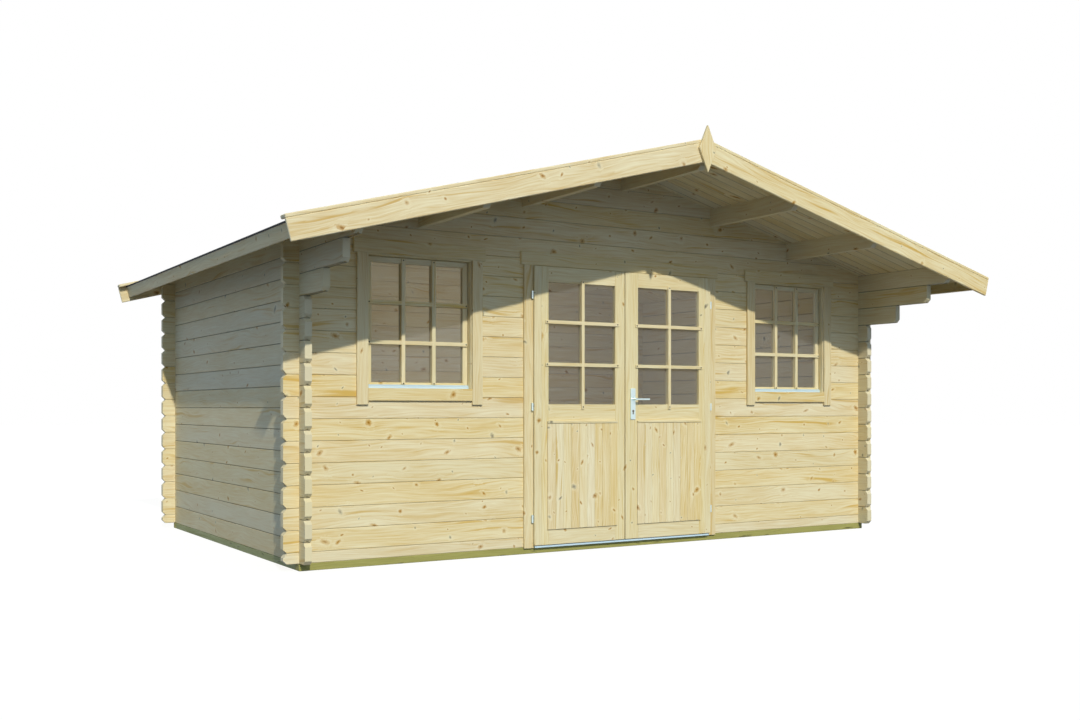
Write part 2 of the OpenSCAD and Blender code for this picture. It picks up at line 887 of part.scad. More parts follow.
// an upright plate with round corners
module plate(y0, y1) {
    w = plate_w / 2;
    h = plate_h / 2;
    r = plate_r;
    along_y(y0, y1) translate([handle_x, plate_mid]) union() {
        translate([r - w, -h]) square([2 * (w - r), 2 * h]);
        translate([-w, r - h]) square([2 * w, 2 * (h - r)]);
        for (x = [r - w, w - r]) for (z = [r - h, h - r]) translate([x, z]) circle(r = r);
    }
}

module handle_plates() {
    color("Silver") at_front() difference() {
        union() {
            plate(-leaf_t - fit - plate_t, -leaf_t - fit);
            plate(fit, fit + plate_t);
        }
        handle_bores();
    }
}

// round lock that shows on both plates, with its key slots
module door_lock() {
    front = -leaf_t - fit - plate_t - lock_out;
    back = fit + plate_t + lock_out;
    z = lever_at - lock_drop;
    color("DarkGray") at_front() difference() {
        translate([handle_x, back, z]) rotate([90, 0, 0]) cylinder(d = lock_d, h = back - front);
        for (y = [front, back]) {
            block([handle_x - key_w / 2, handle_x + key_w / 2], [y - key_d, y + key_d],
                [z - lock_d / 4, z + lock_d / 4]);
        }
    }
}

// two levers on one spindle
module lever_handle() {
    front = -leaf_t - fit - plate_t - neck_l;
    back = fit + plate_t + neck_l;
    sunk = plate_t / 2;
    s = spindle_w / 2;
    color("Silver") at_front() translate([handle_x, 0, lever_at]) {
        block([-s, s], [front, back], [-s, s]);
        for (y = [front - grip_t, back]) {
            along_y(y, y + grip_t) union() {
                circle(d = grip_h);
                translate([0, -grip_h / 2]) square([lever_l - grip_h / 2, grip_h]);
                translate([lever_l - grip_h / 2, 0]) circle(d = grip_h);
            }
        }
        translate([0, front + neck_l + sunk, 0]) rotate([90, 0, 0]) cylinder(d = neck_d, h = neck_l + sunk);
        translate([0, back, 0]) rotate([90, 0, 0]) cylinder(d = neck_d, h = neck_l + sunk);
    }
}

ground_beams();
floor_joists();
floor_deck();
front_wall_left_logs();
front_wall_right_logs();
front_gable_logs();
back_wall_logs();
back_gable_logs();
left_wall_logs();
right_wall_logs();
ridge_purlin();
upper_purlins();
lower_purlins();
left_roof_boards();
right_roof_boards();
roof_felt();
eave_boards();
front_bargeboards();
back_bargeboards();
front_cover_strips();
back_cover_strips();
gable_diamonds();
left_window_frame();
right_window_frame();
left_window_sash();
right_window_sash();
window_glass();
window_drip_rails();
left_window_trims();
right_window_trims();
door_frame();
door_trims();
door_threshold();
door_frame_hinges();
left_door_frame();
left_door_panel();
left_door_glass();
left_door_hinges();
right_door_frame();
right_door_panel();
right_door_glass();
right_door_hinges();
handle_plates();
door_lock();
lever_handle();
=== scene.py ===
import math

import bmesh
import bpy
from mathutils import Matrix, Vector


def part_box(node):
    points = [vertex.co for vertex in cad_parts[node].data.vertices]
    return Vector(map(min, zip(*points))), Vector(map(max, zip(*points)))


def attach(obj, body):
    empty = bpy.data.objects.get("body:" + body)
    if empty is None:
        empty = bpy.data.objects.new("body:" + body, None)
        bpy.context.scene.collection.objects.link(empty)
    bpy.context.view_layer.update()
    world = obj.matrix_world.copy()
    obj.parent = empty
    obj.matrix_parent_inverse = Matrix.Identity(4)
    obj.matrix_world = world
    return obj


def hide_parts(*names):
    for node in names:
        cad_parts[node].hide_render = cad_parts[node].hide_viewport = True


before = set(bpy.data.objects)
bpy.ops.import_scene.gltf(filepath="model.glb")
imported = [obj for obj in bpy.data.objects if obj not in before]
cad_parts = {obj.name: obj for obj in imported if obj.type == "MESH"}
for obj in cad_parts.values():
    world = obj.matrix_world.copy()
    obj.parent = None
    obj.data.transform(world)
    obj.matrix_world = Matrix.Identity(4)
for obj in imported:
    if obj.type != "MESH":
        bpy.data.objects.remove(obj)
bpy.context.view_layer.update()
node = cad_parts


# Ground beams: four pine beams, sawn square and pressure treated to a dull green. They lie flat on
# the ground under the walls; the two long ones run through and the short ones butt against them.

def linear(code):
    """An sRGB hex colour as linear red, green, blue and alpha."""
    parts = [int(code[i:i + 2], 16) / 255 for i in (1, 3, 5)]
    return [p / 12.92 if p <= 0.04045 else ((p + 0.055) / 1.055) ** 2.4 for p in parts] + [1.0]


def add(tree, kind, settings, links):
    """Adds a node; settings are its own properties and plain inputs, links feed its other inputs."""
    made = tree.nodes.new("ShaderNode" + kind)
    for key, value in settings.items():
        if isinstance(key, str) and hasattr(made, key):
            setattr(made, key, value)
        else:
            made.inputs[key].default_value = value
    for key, source in links.items():
        tree.links.new(getattr(source, "outputs", [source])[0], made.inputs[key])
    return made


def bare_material(name):
    """A material with an empty node tree, ready for a finish."""
    made = bpy.data.materials.new(name)
    made.use_nodes = True
    made.node_tree.nodes.clear()
    return made


def timber(name, along, across, depth, pale, late, knot, seed, course=(99.0, -50.0), row=(99.0, -50.0),
           slope=0.0, knots=0.75, vary=0.14, stretch=(0.6, 1.5), shade=0.7, groove=0.0028):
    """Planed softwood: pale wood with faint ochre streaks and lines that part around ochre or grey knots.
    along, across and depth are the axes of the grain; course and row are the pitch and the start of
    boards that lie side by side, each of which gets a tone and a run of grain of its own. slope is the
    pitch of the roof, for boards on it; knots is the share of places that hold a knot, vary is how far
    boards differ in tone, and stretch scales lengths along the grain, so that under 1 a knot is drawn
    out long. shade is how dark the painted shade at a joint between courses is, and groove its reach."""
    made = bare_material(name)
    tree = made.node_tree
    spot = add(tree, "TexCoord", {}, {})
    parts = add(tree, "SeparateXYZ", {}, {0: spot.outputs["Object"]})
    left = add(tree, "Math", {"operation": "LESS_THAN", 1: 0.0}, {0: parts.outputs["X"]})
    if slope:
        # both roof slopes are folded onto the right one, and then laid level
        width = add(tree, "Math", {"operation": "ABSOLUTE"}, {0: parts.outputs["X"]})
        folded = add(tree, "CombineXYZ", {}, {"X": width, "Y": parts.outputs["Y"], "Z": parts.outputs["Z"]})
        level = add(tree, "VectorRotate", {"rotation_type": "Y_AXIS", "Angle": -slope}, {"Vector": folded})
        parts = add(tree, "SeparateXYZ", {}, {0: level})
    u, v, w = (parts.outputs[axis] for axis in (along, across, depth))

    # the number of the board, which draws its tone and its run of grain; the odd factors keep neighbours
    # from drawing alike
    marked = add(tree, "Attribute", {"attribute_name": "mark"}, {}).outputs["Fac"]
    marked = add(tree, "Math", {"operation": "ROUND"}, {0: marked})
    layer = add(tree, "Math", {"operation": "MULTIPLY_ADD", 1: 1 / course[0], 2: -course[1] / course[0]},
                {0: v})
    layer = add(tree, "Math", {"operation": "FLOOR"}, {0: layer})
    rank = add(tree, "Math", {"operation": "MULTIPLY_ADD", 1: 1 / row[0], 2: -row[1] / row[0]}, {0: w})
    rank = add(tree, "Math", {"operation": "FLOOR"}, {0: rank})
    number = add(tree, "Math", {"operation": "MULTIPLY_ADD", 1: 1.37, 2: seed}, {0: layer})
    number = add(tree, "Math", {"operation": "MULTIPLY_ADD", 1: 4.73}, {0: rank, 2: number})
    number = add(tree, "Math", {"operation": "MULTIPLY_ADD", 1: 0.617}, {0: marked, 2: number})
    if slope:
        number = add(tree, "Math", {"operation": "MULTIPLY_ADD", 1: 9.1}, {0: left, 2: number})
    chance = add(tree, "TexWhiteNoise", {"noise_dimensions": "1D"}, {"W": number})
    lot = add(tree, "SeparateColor", {}, {0: chance.outputs["Color"]})
    shifted = add(tree, "Math", {"operation": "MULTIPLY_ADD", 1: 40.0}, {0: chance.outputs["Value"], 2: u})
    grain = add(tree, "CombineXYZ", {}, {"X": shifted, "Y": v, "Z": w})

    # knots lie about 220 mm apart along the grain and 90 mm across it; they are 11 to 42 mm wide, lean
    # one way or the other, and have ragged edges
    pace = (1 / 0.22, 1 / 0.09)
    cells = add(tree, "VectorMath", {"operation": "MULTIPLY", 1: (*pace, 0.0)}, {0: grain})
    cell = add(tree, "TexVoronoi", {"voronoi_dimensions": "2D", "Scale": 1.0}, {"Vector": cells})
    away = add(tree, "VectorMath", {"operation": "SUBTRACT"}, {0: cells, 1: cell.outputs["Position"]})
    away = add(tree, "VectorMath", {"operation": "MULTIPLY", 1: (1 / pace[0], 1 / pace[1], 0.0)}, {0: away})
    away = add(tree, "SeparateXYZ", {}, {0: away})
    kind = add(tree, "SeparateColor", {}, {0: cell.outputs["Color"]})
    lean = add(tree, "MapRange", {"From Max": knots, "To Min": -0.9, "To Max": 0.9},
               {"Value": kind.outputs[0]})
    narrow = add(tree, "MapRange", {"To Min": stretch[0], "To Max": stretch[1]}, {"Value": kind.outputs[2]})
    length = add(tree, "Math", {"operation": "MULTIPLY"}, {0: away.outputs["X"], 1: narrow})
    length = add(tree, "Math", {"operation": "MULTIPLY_ADD"}, {0: away.outputs["Y"], 1: lean, 2: length})
    away_by = add(tree, "CombineXYZ", {}, {"X": length, "Y": away.outputs["Y"]})
    gap = add(tree, "VectorMath", {"operation": "LENGTH"}, {0: away_by}).outputs["Value"]
    ragged = add(tree, "TexNoise", {"Scale": 1 / 0.012, "Detail": 1.0}, {"Vector": grain})
    ragged = add(tree, "MapRange", {"To Min": 0.45, "To Max": 1.55}, {"Value": ragged.outputs[0]})
    gap = add(tree, "Math", {"operation": "MULTIPLY"}, {0: gap, 1: ragged})
    present = add(tree, "Math", {"operation": "LESS_THAN", 1: knots}, {0: kind.outputs[0]})
    radius = add(tree, "Math", {"operation": "POWER", 1: 2.5}, {0: kind.outputs[1]})
    radius = add(tree, "MapRange", {"To Min": 0.0055, "To Max": 0.021}, {"Value": radius})
    radius = add(tree, "Math", {"operation": "MULTIPLY_ADD", 2: 0.0002}, {0: radius, 1: present})
    reach = add(tree, "Math", {"operation": "DIVIDE"}, {0: gap, 1: radius})
    halo = add(tree, "MapRange", {"interpolation_type": "SMOOTHSTEP", "From Min": 1.0, "From Max": 3.2,
                                  "To Min": 0.4, "To Max": 0.0}, {"Value": reach})
    smudge = add(tree, "MapRange", {"interpolation_type": "SMOOTHSTEP", "From Min": 0.5, "From Max": 1.4,
                                    "To Min": 0.9, "To Max": 0.0}, {"Value": reach})
    heart = add(tree, "MapRange", {"interpolation_type": "SMOOTHSTEP", "From Min": 0.15, "From Max": 0.6,
                                   "To Min": 0.9, "To Max": 0.0}, {"Value": reach})
    # some knots are strong and some only a smudge
    loud = add(tree, "Math", {"operation": "MULTIPLY", 1: 7.0}, {0: kind.outputs[1]})
    loud = add(tree, "Math", {"operation": "FRACT"}, {0: loud})
    smudge_share = add(tree, "MapRange", {"To Min": 0.5, "To Max": 1.0}, {"Value": loud})
    smudge = add(tree, "Math", {"operation": "MULTIPLY"}, {0: smudge, 1: smudge_share})
    heart = add(tree, "Math", {"operation": "MULTIPLY"}, {0: heart, 1: smudge_share})
    dead = add(tree, "Math", {"operation": "GREATER_THAN", 1: 0.78}, {0: kind.outputs[2]})

    # the grain parts around a knot, and bows over 600 mm or so because it lies aslant to the face
    spread = add(tree, "Math", {"operation": "MULTIPLY_ADD", 2: 0.7}, {0: reach, 1: reach})
    push = add(tree, "Math", {"operation": "DIVIDE"}, {0: away.outputs["Y"], 1: spread})
    flow = add(tree, "Math", {"operation": "MULTIPLY_ADD", 1: -1.2}, {0: push, 2: v})
    bow_at = add(tree, "VectorMath", {"operation": "MULTIPLY", 1: (1.7, 9.0, 9.0)}, {0: grain})
    bow = add(tree, "TexNoise", {"Scale": 1.0, "Detail": 1.0}, {"Vector": bow_at})
    flow = add(tree, "Math", {"operation": "MULTIPLY_ADD", 1: 0.1}, {0: bow.outputs[0], 2: flow})
    run = add(tree, "CombineXYZ", {}, {"X": shifted, "Y": flow, "Z": w})

    # a few long streaks 30 mm wide, fine ones of 9 mm, and late-wood lines, drawn 20 mm apart so that
    # they show
    streaks_at = add(tree, "VectorMath", {"operation": "MULTIPLY", 1: (1.1, 26.0, 26.0)}, {0: run})
    streaks = add(tree, "TexNoise", {"Scale": 1.0, "Detail": 2.0}, {"Vector": streaks_at})
    fine = add(tree, "TexNoise", {"Scale": 4.0, "Detail": 2.0, "Roughness": 0.6}, {"Vector": streaks_at})
    ring = add(tree, "Math", {"operation": "MULTIPLY", 1: 4.0}, {0: streaks.outputs[0]})
    ring = add(tree, "Math", {"operation": "MULTIPLY_ADD", 1: 1 / 0.02}, {0: flow, 2: ring})
    ring = add(tree, "Math", {"operation": "FRACT"}, {0: ring})
    lines = add(tree, "MapRange", {"interpolation_type": "SMOOTHSTEP", "From Min": 0.45, "From Max": 0.95},
                {"Value": ring})
    strong = add(tree, "MapRange", {"interpolation_type": "SMOOTHSTEP", "From Min": 0.6, "From Max": 0.78,
                                    "To Max": 0.85}, {"Value": streaks.outputs[0]})
    share = add(tree, "MapRange", {"From Min": 0.3, "From Max": 0.7, "To Min": 0.0, "To Max": 0.44},
                {"Value": fine.outputs[0]})
    share = add(tree, "Math", {"operation": "ADD"}, {0: share, 1: strong})
    share = add(tree, "Math", {"operation": "MULTIPLY_ADD", 1: 0.2}, {0: lines, 2: share})
    patch = add(tree, "MapRange", {"From Min": 0.35, "From Max": 0.65, "To Min": -0.1, "To Max": 0.12},
                {"Value": bow.outputs[0]})
    share = add(tree, "Math", {"operation": "ADD"}, {0: share, 1: patch})
    tone = add(tree, "MapRange", {"To Min": -vary / 2, "To Max": vary}, {"Value": lot.outputs[0]})
    share = add(tree, "Math", {"operation": "ADD", "use_clamp": True}, {0: share, 1: tone})
    colour = add(tree, "MixRGB", {"Color1": linear(pale), "Color2": linear(late)}, {"Fac": share})
    ochre = [0.45 * a + 0.55 * b for a, b in zip(linear(late), linear(knot))]
    grey = [[part * a for a in linear(pale)[:3]] + [1.0] for part in (0.36, 0.24)]
    around = add(tree, "MixRGB", {"Color1": ochre, "Color2": grey[0]}, {"Fac": dead})
    dark = [0.6 * a for a in linear(knot)[:3]] + [1.0]
    middle = add(tree, "MixRGB", {"Color1": dark, "Color2": grey[1]}, {"Fac": dead})
    colour = add(tree, "MixRGB", {"Color2": linear(pale)}, {"Fac": halo, "Color1": colour})
    colour = add(tree, "MixRGB", {}, {"Fac": smudge, "Color1": colour, "Color2": around})
    colour = add(tree, "MixRGB", {}, {"Fac": heart, "Color1": colour, "Color2": middle})

    # where a board is cut across, its growth rings show, drawn 6 mm apart so that they are seen
    facing = add(tree, "SeparateXYZ", {}, {0: spot.outputs["Normal"]}).outputs[along]
    facing = add(tree, "Math", {"operation": "ABSOLUTE"}, {0: facing})
    sawn = add(tree, "MapRange", {"interpolation_type": "SMOOTHSTEP", "From Min": 0.5, "From Max": 0.8},
               {"Value": facing})
    pith = add(tree, "Math", {"operation": "MULTIPLY_ADD", 1: 2.0}, {0: lot.outputs[2], 2: v})
    slice_at = add(tree, "CombineXYZ", {}, {"Y": pith, "Z": w})
    rings = add(tree, "TexWave", {"wave_type": "RINGS", "rings_direction": "X", "Scale": math.pi / 10 / 0.006,
                                  "Distortion": 2.0, "Detail": 1.0}, {"Vector": slice_at})
    rings = add(tree, "MapRange", {"To Min": 0.0, "To Max": 0.36}, {"Value": rings.outputs["Fac"]})
    end_grain = add(tree, "MixRGB", {"Color1": linear(pale), "Color2": linear(late)}, {"Fac": rings})
    colour = add(tree, "MixRGB", {}, {"Fac": sawn, "Color1": colour, "Color2": end_grain})

    # boards differ a little in brightness and in depth of colour
    bright = add(tree, "MapRange", {"To Min": 0.95, "To Max": 1.02}, {"Value": lot.outputs[0]})
    deep = add(tree, "MapRange", {"To Min": 0.92, "To Max": 1.08}, {"Value": lot.outputs[1]})
    if course[0] < 1.0:
        # painted shade: the joint between two courses and the bevels beside it are darkened, as if in their
        # own shade
        joint = add(tree, "Math", {"operation": "SUBTRACT", 1: course[1]}, {0: v})
        joint = add(tree, "Math", {"operation": "PINGPONG", 1: course[0] / 2}, {0: joint})
        joint = add(tree, "MapRange", {"From Min": 0.0008, "From Max": groove, "To Min": shade},
                    {"Value": joint})
        bright = add(tree, "Math", {"operation": "MULTIPLY"}, {0: bright, 1: joint})
    colour = add(tree, "HueSaturation", {}, {"Color": colour, "Value": bright, "Saturation": deep})
    rough = add(tree, "MapRange", {"To Min": 0.66, "To Max": 0.52}, {"Value": lines})
    bump = add(tree, "Bump", {"Strength": 0.25, "Distance": 0.0008}, {"Height": lines})
    shader = add(tree, "BsdfPrincipled", {"Specular IOR Level": 0.3},
                 {"Base Color": colour, "Roughness": rough, "Normal": bump})
    add(tree, "OutputMaterial", {}, {"Surface": shader})
    return made


def new_boards():
    """An empty mesh for boards, with a place for each board's mark."""
    made = bmesh.new()
    made.verts.layers.float.new("mark")
    return made


def board(bm, outline, front, back, bevel, grain=0, turn=None):
    """A board with this outline in x and z, thick from front to back in y, its edges broken. grain is the
    number of its material in the piece, and turn lays it in its place. Its mark is its own in the mesh."""
    layer = bm.verts.layers.float["mark"]
    mark = 1.0 + len(bm.verts)
    near = [bm.verts.new((x, front, z)) for x, z in outline]
    grown = bmesh.ops.extrude_face_region(bm, geom=[bm.faces.new(near)])["geom"]
    far = [g for g in grown if isinstance(g, bmesh.types.BMVert)]
    bmesh.ops.translate(bm, verts=far, vec=(0, back - front, 0))
    edges = list(dict.fromkeys(e for v in near + far for e in v.link_edges))
    bmesh.ops.bevel(bm, geom=edges, offset=bevel, segments=1, profile=0.5, affect="EDGES", material=-1)
    made = [v for v in bm.verts if not v[layer]]
    for v in made:
        v[layer] = mark
        for f in v.link_faces:
            f.material_index = grain
    if turn:
        bmesh.ops.transform(bm, matrix=turn, verts=made)
    return made


def oblong(x0, x1, z0, z1):
    """Corners of an upright rectangle."""
    return [(x0, z0), (x1, z0), (x1, z1), (x0, z1)]


def piece(name, bm, *materials):
    """The finished mesh as an object at the origin, with its materials."""
    bmesh.ops.recalc_face_normals(bm, faces=bm.faces)
    mesh = bpy.data.meshes.new(name)
    bm.to_mesh(mesh)
    bm.free()
    made = bpy.data.objects.new(name, mesh)
    bpy.context.scene.collection.objects.link(made)
    for m in materials:
        mesh.materials.append(m)
    return made


TREATED_PALE, TREATED_LATE, TREATED_KNOT = "#A8A357", "#87833C", "#4C4A24"
# painted shade: the beams along the sides, which stand in shade, get a greyer green copy of the
# treated colours
SHADED_BEAM_PALE, SHADED_BEAM_LATE = "#9FA475", "#7F8452"
# the knots are drawn out along the grain, into long thin checks
checks, check_stretch = 0.6, (0.1, 0.3)
treated_lying = timber("treated_pine_across", "X", "Z", "Y", TREATED_PALE, TREATED_LATE, TREATED_KNOT, 3.1,
                       knots=checks, stretch=check_stretch)
treated_deep = timber("treated_pine_front_to_back", "Y", "Z", "X", SHADED_BEAM_PALE, SHADED_BEAM_LATE, TREATED_KNOT, 5.3,
                      row=(0.3, -0.15), knots=checks, stretch=check_stretch)
low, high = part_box("ground_beams")
beam_w, beam_edge = 0.070, 0.003
bm = new_boards()
for y in (low.y, high.y - beam_w):
    board(bm, oblong(low.x, high.x, low.z, high.z), y, y + beam_w, beam_edge)
for x in (low.x, high.x - beam_w):
    board(bm, oblong(x, x + beam_w, low.z, high.z), low.y + beam_w, high.y - beam_w, beam_edge, grain=1)
beams = piece("treated_ground_beams", bm, treated_lying, treated_deep)
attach(beams, "cabin")
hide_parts("ground_beams")
node["floor_joists"].material_slots[0].material = treated_deep


# Floor: tongued spruce boards along the front, nailed down on the treated joists between the walls.
# Planed on top, with a small bevel at each joint.
SPRUCE_PALE, SPRUCE_LATE, SPRUCE_KNOT = "#E8DDB6", "#CEAE66", "#B07814"
floor_spruce = timber("planed_spruce_floor", "X", "Y", "Z", SPRUCE_PALE, SPRUCE_LATE, SPRUCE_KNOT, 7.7)
low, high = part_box("floor_deck")
floor_boards, floor_air, floor_edge = 25, 0.0003, 0.0015
cover = (high.y - low.y) / floor_boards
bm = new_boards()
for i in range(floor_boards):
    y = low.y + i * cover
    board(bm, oblong(low.x, high.x, low.z, high.z), y + floor_air, y + cover - floor_air, floor_edge)
deck = piece("floor_boards", bm, floor_spruce)
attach(deck, "cabin")
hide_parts("floor_deck")


# Log walls: planed spruce logs, 45 mm thick and 135 mm high, tongued and grooved, and notched over
# each other at the corners. The front and back start with a half log, the sides with a whole one.
log_h, floor_t = 0.135, 0.018
base_z = high.z - floor_t
whole_course, half_course = (log_h, base_z), (log_h, base_z - log_h / 2)
# painted shade: the side logs and the roof timbers, which stand in shade, get a duller and cooler copy
# of the spruce colours, with fainter streaks
SHADED_PALE, SHADED_LATE = "#DFD6B2", "#CDB47C"
# the painted shade at the joints of the side logs is darker and reaches wider
side_painted_shade, side_groove = 0.35, 0.0042
front_spruce = timber("planed_spruce_front_logs", "X", "Z", "Y", SPRUCE_PALE, SPRUCE_LATE, SPRUCE_KNOT, 11.3,
                      course=half_course)
back_spruce = timber("planed_spruce_back_logs", "X", "Z", "Y", SPRUCE_PALE, SPRUCE_LATE, SPRUCE_KNOT, 57.9,
                     course=half_course)
left_spruce = timber("planed_spruce_left_logs", "Y", "Z", "X", SHADED_PALE, SHADED_LATE, SPRUCE_KNOT, 23.1,
                     course=whole_course, knots=0.4, shade=side_painted_shade, groove=side_groove)
right_spruce = timber("planed_spruce_right_logs", "Y", "Z", "X", SHADED_PALE, SHADED_LATE, SPRUCE_KNOT, 91.7,
                      course=whole_course, knots=0.4, shade=side_painted_shade, groove=side_groove)
for name, spruce in (("front_wall_left_logs", front_spruce), ("front_wall_right_logs", front_spruce),
                     ("front_gable_logs", front_spruce), ("back_wall_logs", back_spruce),
                     ("back_gable_logs", back_spruce), ("left_wall_logs", left_spruce),
                     ("right_wall_logs", right_spruce)):
    node[name].material_slots[0].material = spruce


# Roof beams: a ridge purlin and four lower ones of planed spruce, let into the gables, with their
# tops planed to the slope and their lower end corners cut off.
beam_spruce = timber("planed_spruce_roof_beams", "Y", "Z", "X", SHADED_PALE, SHADED_LATE, SPRUCE_KNOT, 31.9,
                     row=(0.5, -0.25), knots=0.4)
for name in ("ridge_purlin", "upper_purlins", "lower_purlins"):
    node[name].material_slots[0].material = beam_spruce


# Roof boards: planed and grooved spruce boards that run from the ridge to the eaves, nailed across
# the purlins. Their bevelled joints show from below under the canopy, darkened with painted shade.
pitch = math.radians(14.6)
# the underside of the boards meets the inner faces of the side walls at their tops
wall_in, wall_top, eave_x = 2.365, 2.0703, 2.746
roof_top = wall_top + wall_in * math.tan(pitch)
slope_end = eave_x / math.cos(pitch)
deck_t, ridge_air = 0.019, 0.0003
low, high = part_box("right_roof_boards")
roof_front, roof_back = low.y, high.y


def slope_turn(side):
    """Lays a board from level onto the right slope (side 1) or the left one (side -1)."""
    return Matrix.Translation((0, 0, roof_top)) @ Matrix.Rotation(side * pitch, 4, "Y")


def slope_outline(side, n0, n1, end):
    """From the plumb cut at the ridge down to the end, between two levels over the boards' underside."""
    ridge = [(ridge_air - n * math.sin(pitch)) / math.cos(pitch) for n in (n0, n1)]
    return [(side * ridge[0], n0), (side * end, n0), (side * end, n1), (side * ridge[1], n1)]


roof_boards, board_gap, board_edge = 43, 0.001, 0.005
eave_t, eave_air = 0.018, 0.0003
cover = (roof_back - roof_front) / roof_boards
boards_end = slope_end - eave_t - eave_air
# painted shade darkens the joints between the roof boards and the bevels beside them
soffit_spruce = timber("planed_spruce_roof_boards", "X", "Y", "Z", SPRUCE_PALE, SHADED_LATE, SPRUCE_KNOT, 43.7,
                       course=(cover, roof_front), slope=pitch, knots=0.5, vary=0.25, shade=0.3,
                       groove=board_gap + board_edge)
for side, name in ((-1, "left"), (1, "right")):
    bm = new_boards()
    for i in range(roof_boards):
        y = roof_front + i * cover
        board(bm, slope_outline(side, 0, deck_t, boards_end), y + board_gap, y + cover - board_gap,
              board_edge, turn=slope_turn(side))
    boards = piece(name + "_slope_boards", bm, soffit_spruce)
    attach(boards, "cabin")
    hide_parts(name + "_roof_boards")


# Roofing felt: black bitumen felt with fine slate grit, rolled out along the roof from the eaves up.
# Each strip laps 100 mm over the one below it, the lowest is turned down over the eave board, and a
# cap is folded over the ridge; clout nails hold them.
felt = bare_material("gritted_bitumen_felt")
tree = felt.node_tree
place = add(tree, "TexCoord", {}, {}).outputs["Object"]
# grit of 1 to 2 mm, drawn at 4 mm so that it shows
grit = add(tree, "TexNoise", {"Scale": 1 / 0.004, "Detail": 2.0}, {"Vector": place})
patches = add(tree, "TexNoise", {"Scale": 1 / 0.4, "Detail": 3.0}, {"Vector": place})
share = add(tree, "MapRange", {"From Min": 0.38, "From Max": 0.68}, {"Value": grit.outputs[0]})
share = add(tree, "Math", {"operation": "MULTIPLY"}, {0: share, 1: patches.outputs[0]})
colour = add(tree, "MixRGB", {"Color1": linear("#1E1F20"), "Color2": linear("#5B5D5E")}, {"Fac": share})
bump = add(tree, "Bump", {"Strength": 0.5, "Distance": 0.001}, {"Height": grit.outputs[0]})
shader = add(tree, "BsdfPrincipled", {"Roughness": 0.88, "Specular IOR Level": 0.25},
             {"Base Color": colour, "Normal": bump})
add(tree, "OutputMaterial", {}, {"Surface": shader})

# levels over the boards' underside: of a strip on the boards, and of its end on the next strip
felt_lo, felt_t, lap_air, felt_edge = 0.0193, 0.003, 0.0001, 0.0006
felt_hi = felt_lo + felt_t
lap_lo = felt_hi + lap_air
lap_hi = lap_lo + felt_t
lap, lap_ends, cap = 0.1, (1.06, 2.03), 0.25
bend_in, bend_run, bend_skew = 0.003, 0.007, 0.002
# narrow strips lie under the cover strips of the gables, beside the long ones
gable_w, gable_air = 0.054, 0.0005
strip_y = (roof_front + gable_w + gable_air, roof_back - gable_w - gable_air)
fold_air, fold_out, fold_foot, fold_short = 0.0003, 0.003, 0.0115, 0.001
bm = new_boards()
for side in (-1, 1):
    turn = slope_turn(side)
    top = slope_outline(side, felt_lo, felt_hi, lap_ends[0] - lap)
    for i, end in enumerate((*lap_ends, slope_end)):
        start = lap_ends[i - 1] - lap
        begin = ((side * start, felt_lo), (side * start, felt_hi)) if i else (top[0], top[3])
        if end == slope_end:
            sheet = [begin[0], (side * end, felt_lo), (side * end, felt_hi), begin[1]]
        else:
            bend = end - lap - bend_in
            raised = [(bend, felt_lo), (bend + bend_run, lap_lo), (end, lap_lo), (end, lap_hi),
                      (bend + bend_run - bend_skew, lap_hi), (bend - bend_skew, felt_hi)]
            sheet = [begin[0], *((side * s, n) for s, n in raised), begin[1]]
        board(bm, sheet, *strip_y, felt_edge, turn=turn)
    turned_down = oblong(slope_end + fold_air, slope_end + fold_out, fold_foot, felt_hi)
    turned_down = [(side * s, n) for s, n in turned_down]
    board(bm, turned_down, roof_front + fold_short, roof_back - fold_short, felt_edge, turn=turn)
    for y in (roof_front, roof_back - gable_w):
        board(bm, slope_outline(side, felt_lo, felt_hi, slope_end), y, y + gable_w, felt_edge, turn=turn)
cap_outline = []
for side, n in ((-1, lap_lo), (1, lap_lo), (1, lap_hi), (-1, lap_hi)):
    x = side * cap * math.cos(pitch) + side * n * math.sin(pitch)
    cap_outline.append((x, roof_top - cap * math.sin(pitch) + n * math.cos(pitch)))
ridge_under = roof_top + lap_lo / math.cos(pitch)
cap_outline.insert(1, (0.0, ridge_under))
cap_outline.insert(4, (0.0, ridge_under + felt_t / math.cos(pitch)))
board(bm, cap_outline, *strip_y, felt_edge)
roofing = piece("lapped_roofing_felt", bm, felt)
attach(roofing, "cabin")
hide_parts("roof_felt")


def metal(name, waves, detail, dull, bright, rough, metallic=1.0):
    """A metal whose tone and gloss follow one fine pattern, with so many waves a metre in x, y and z."""
    made = bare_material(name)
    tree = made.node_tree
    place = add(tree, "TexCoord", {}, {}).outputs["Object"]
    place = add(tree, "VectorMath", {"operation": "MULTIPLY", 1: waves}, {0: place})
    pattern = add(tree, "TexNoise", {"Scale": 1.0, "Detail": detail}, {"Vector": place}).outputs[0]
    colour = add(tree, "MixRGB", {"Color1": linear(dull), "Color2": linear(bright)}, {"Fac": pattern})
    gloss = add(tree, "MapRange", {"To Min": rough[0], "To Max": rough[1]}, {"Value": pattern})
    shader = add(tree, "BsdfPrincipled", {"Metallic": metallic}, {"Base Color": colour, "Roughness": gloss})
    add(tree, "OutputMaterial", {}, {"Surface": shader})
    return made


def nail(bm, at, facing, head):
    """A flat nail head of this diameter with its middle at a point, facing outwards."""
    turn = Matrix.Translation(at) @ Vector(facing).to_track_quat("Z", "Y").to_matrix().to_4x4()
    bmesh.ops.create_cone(bm, cap_ends=True, segments=10, radius1=head / 2, radius2=head * 0.4,
                          depth=head * 0.2, matrix=turn)


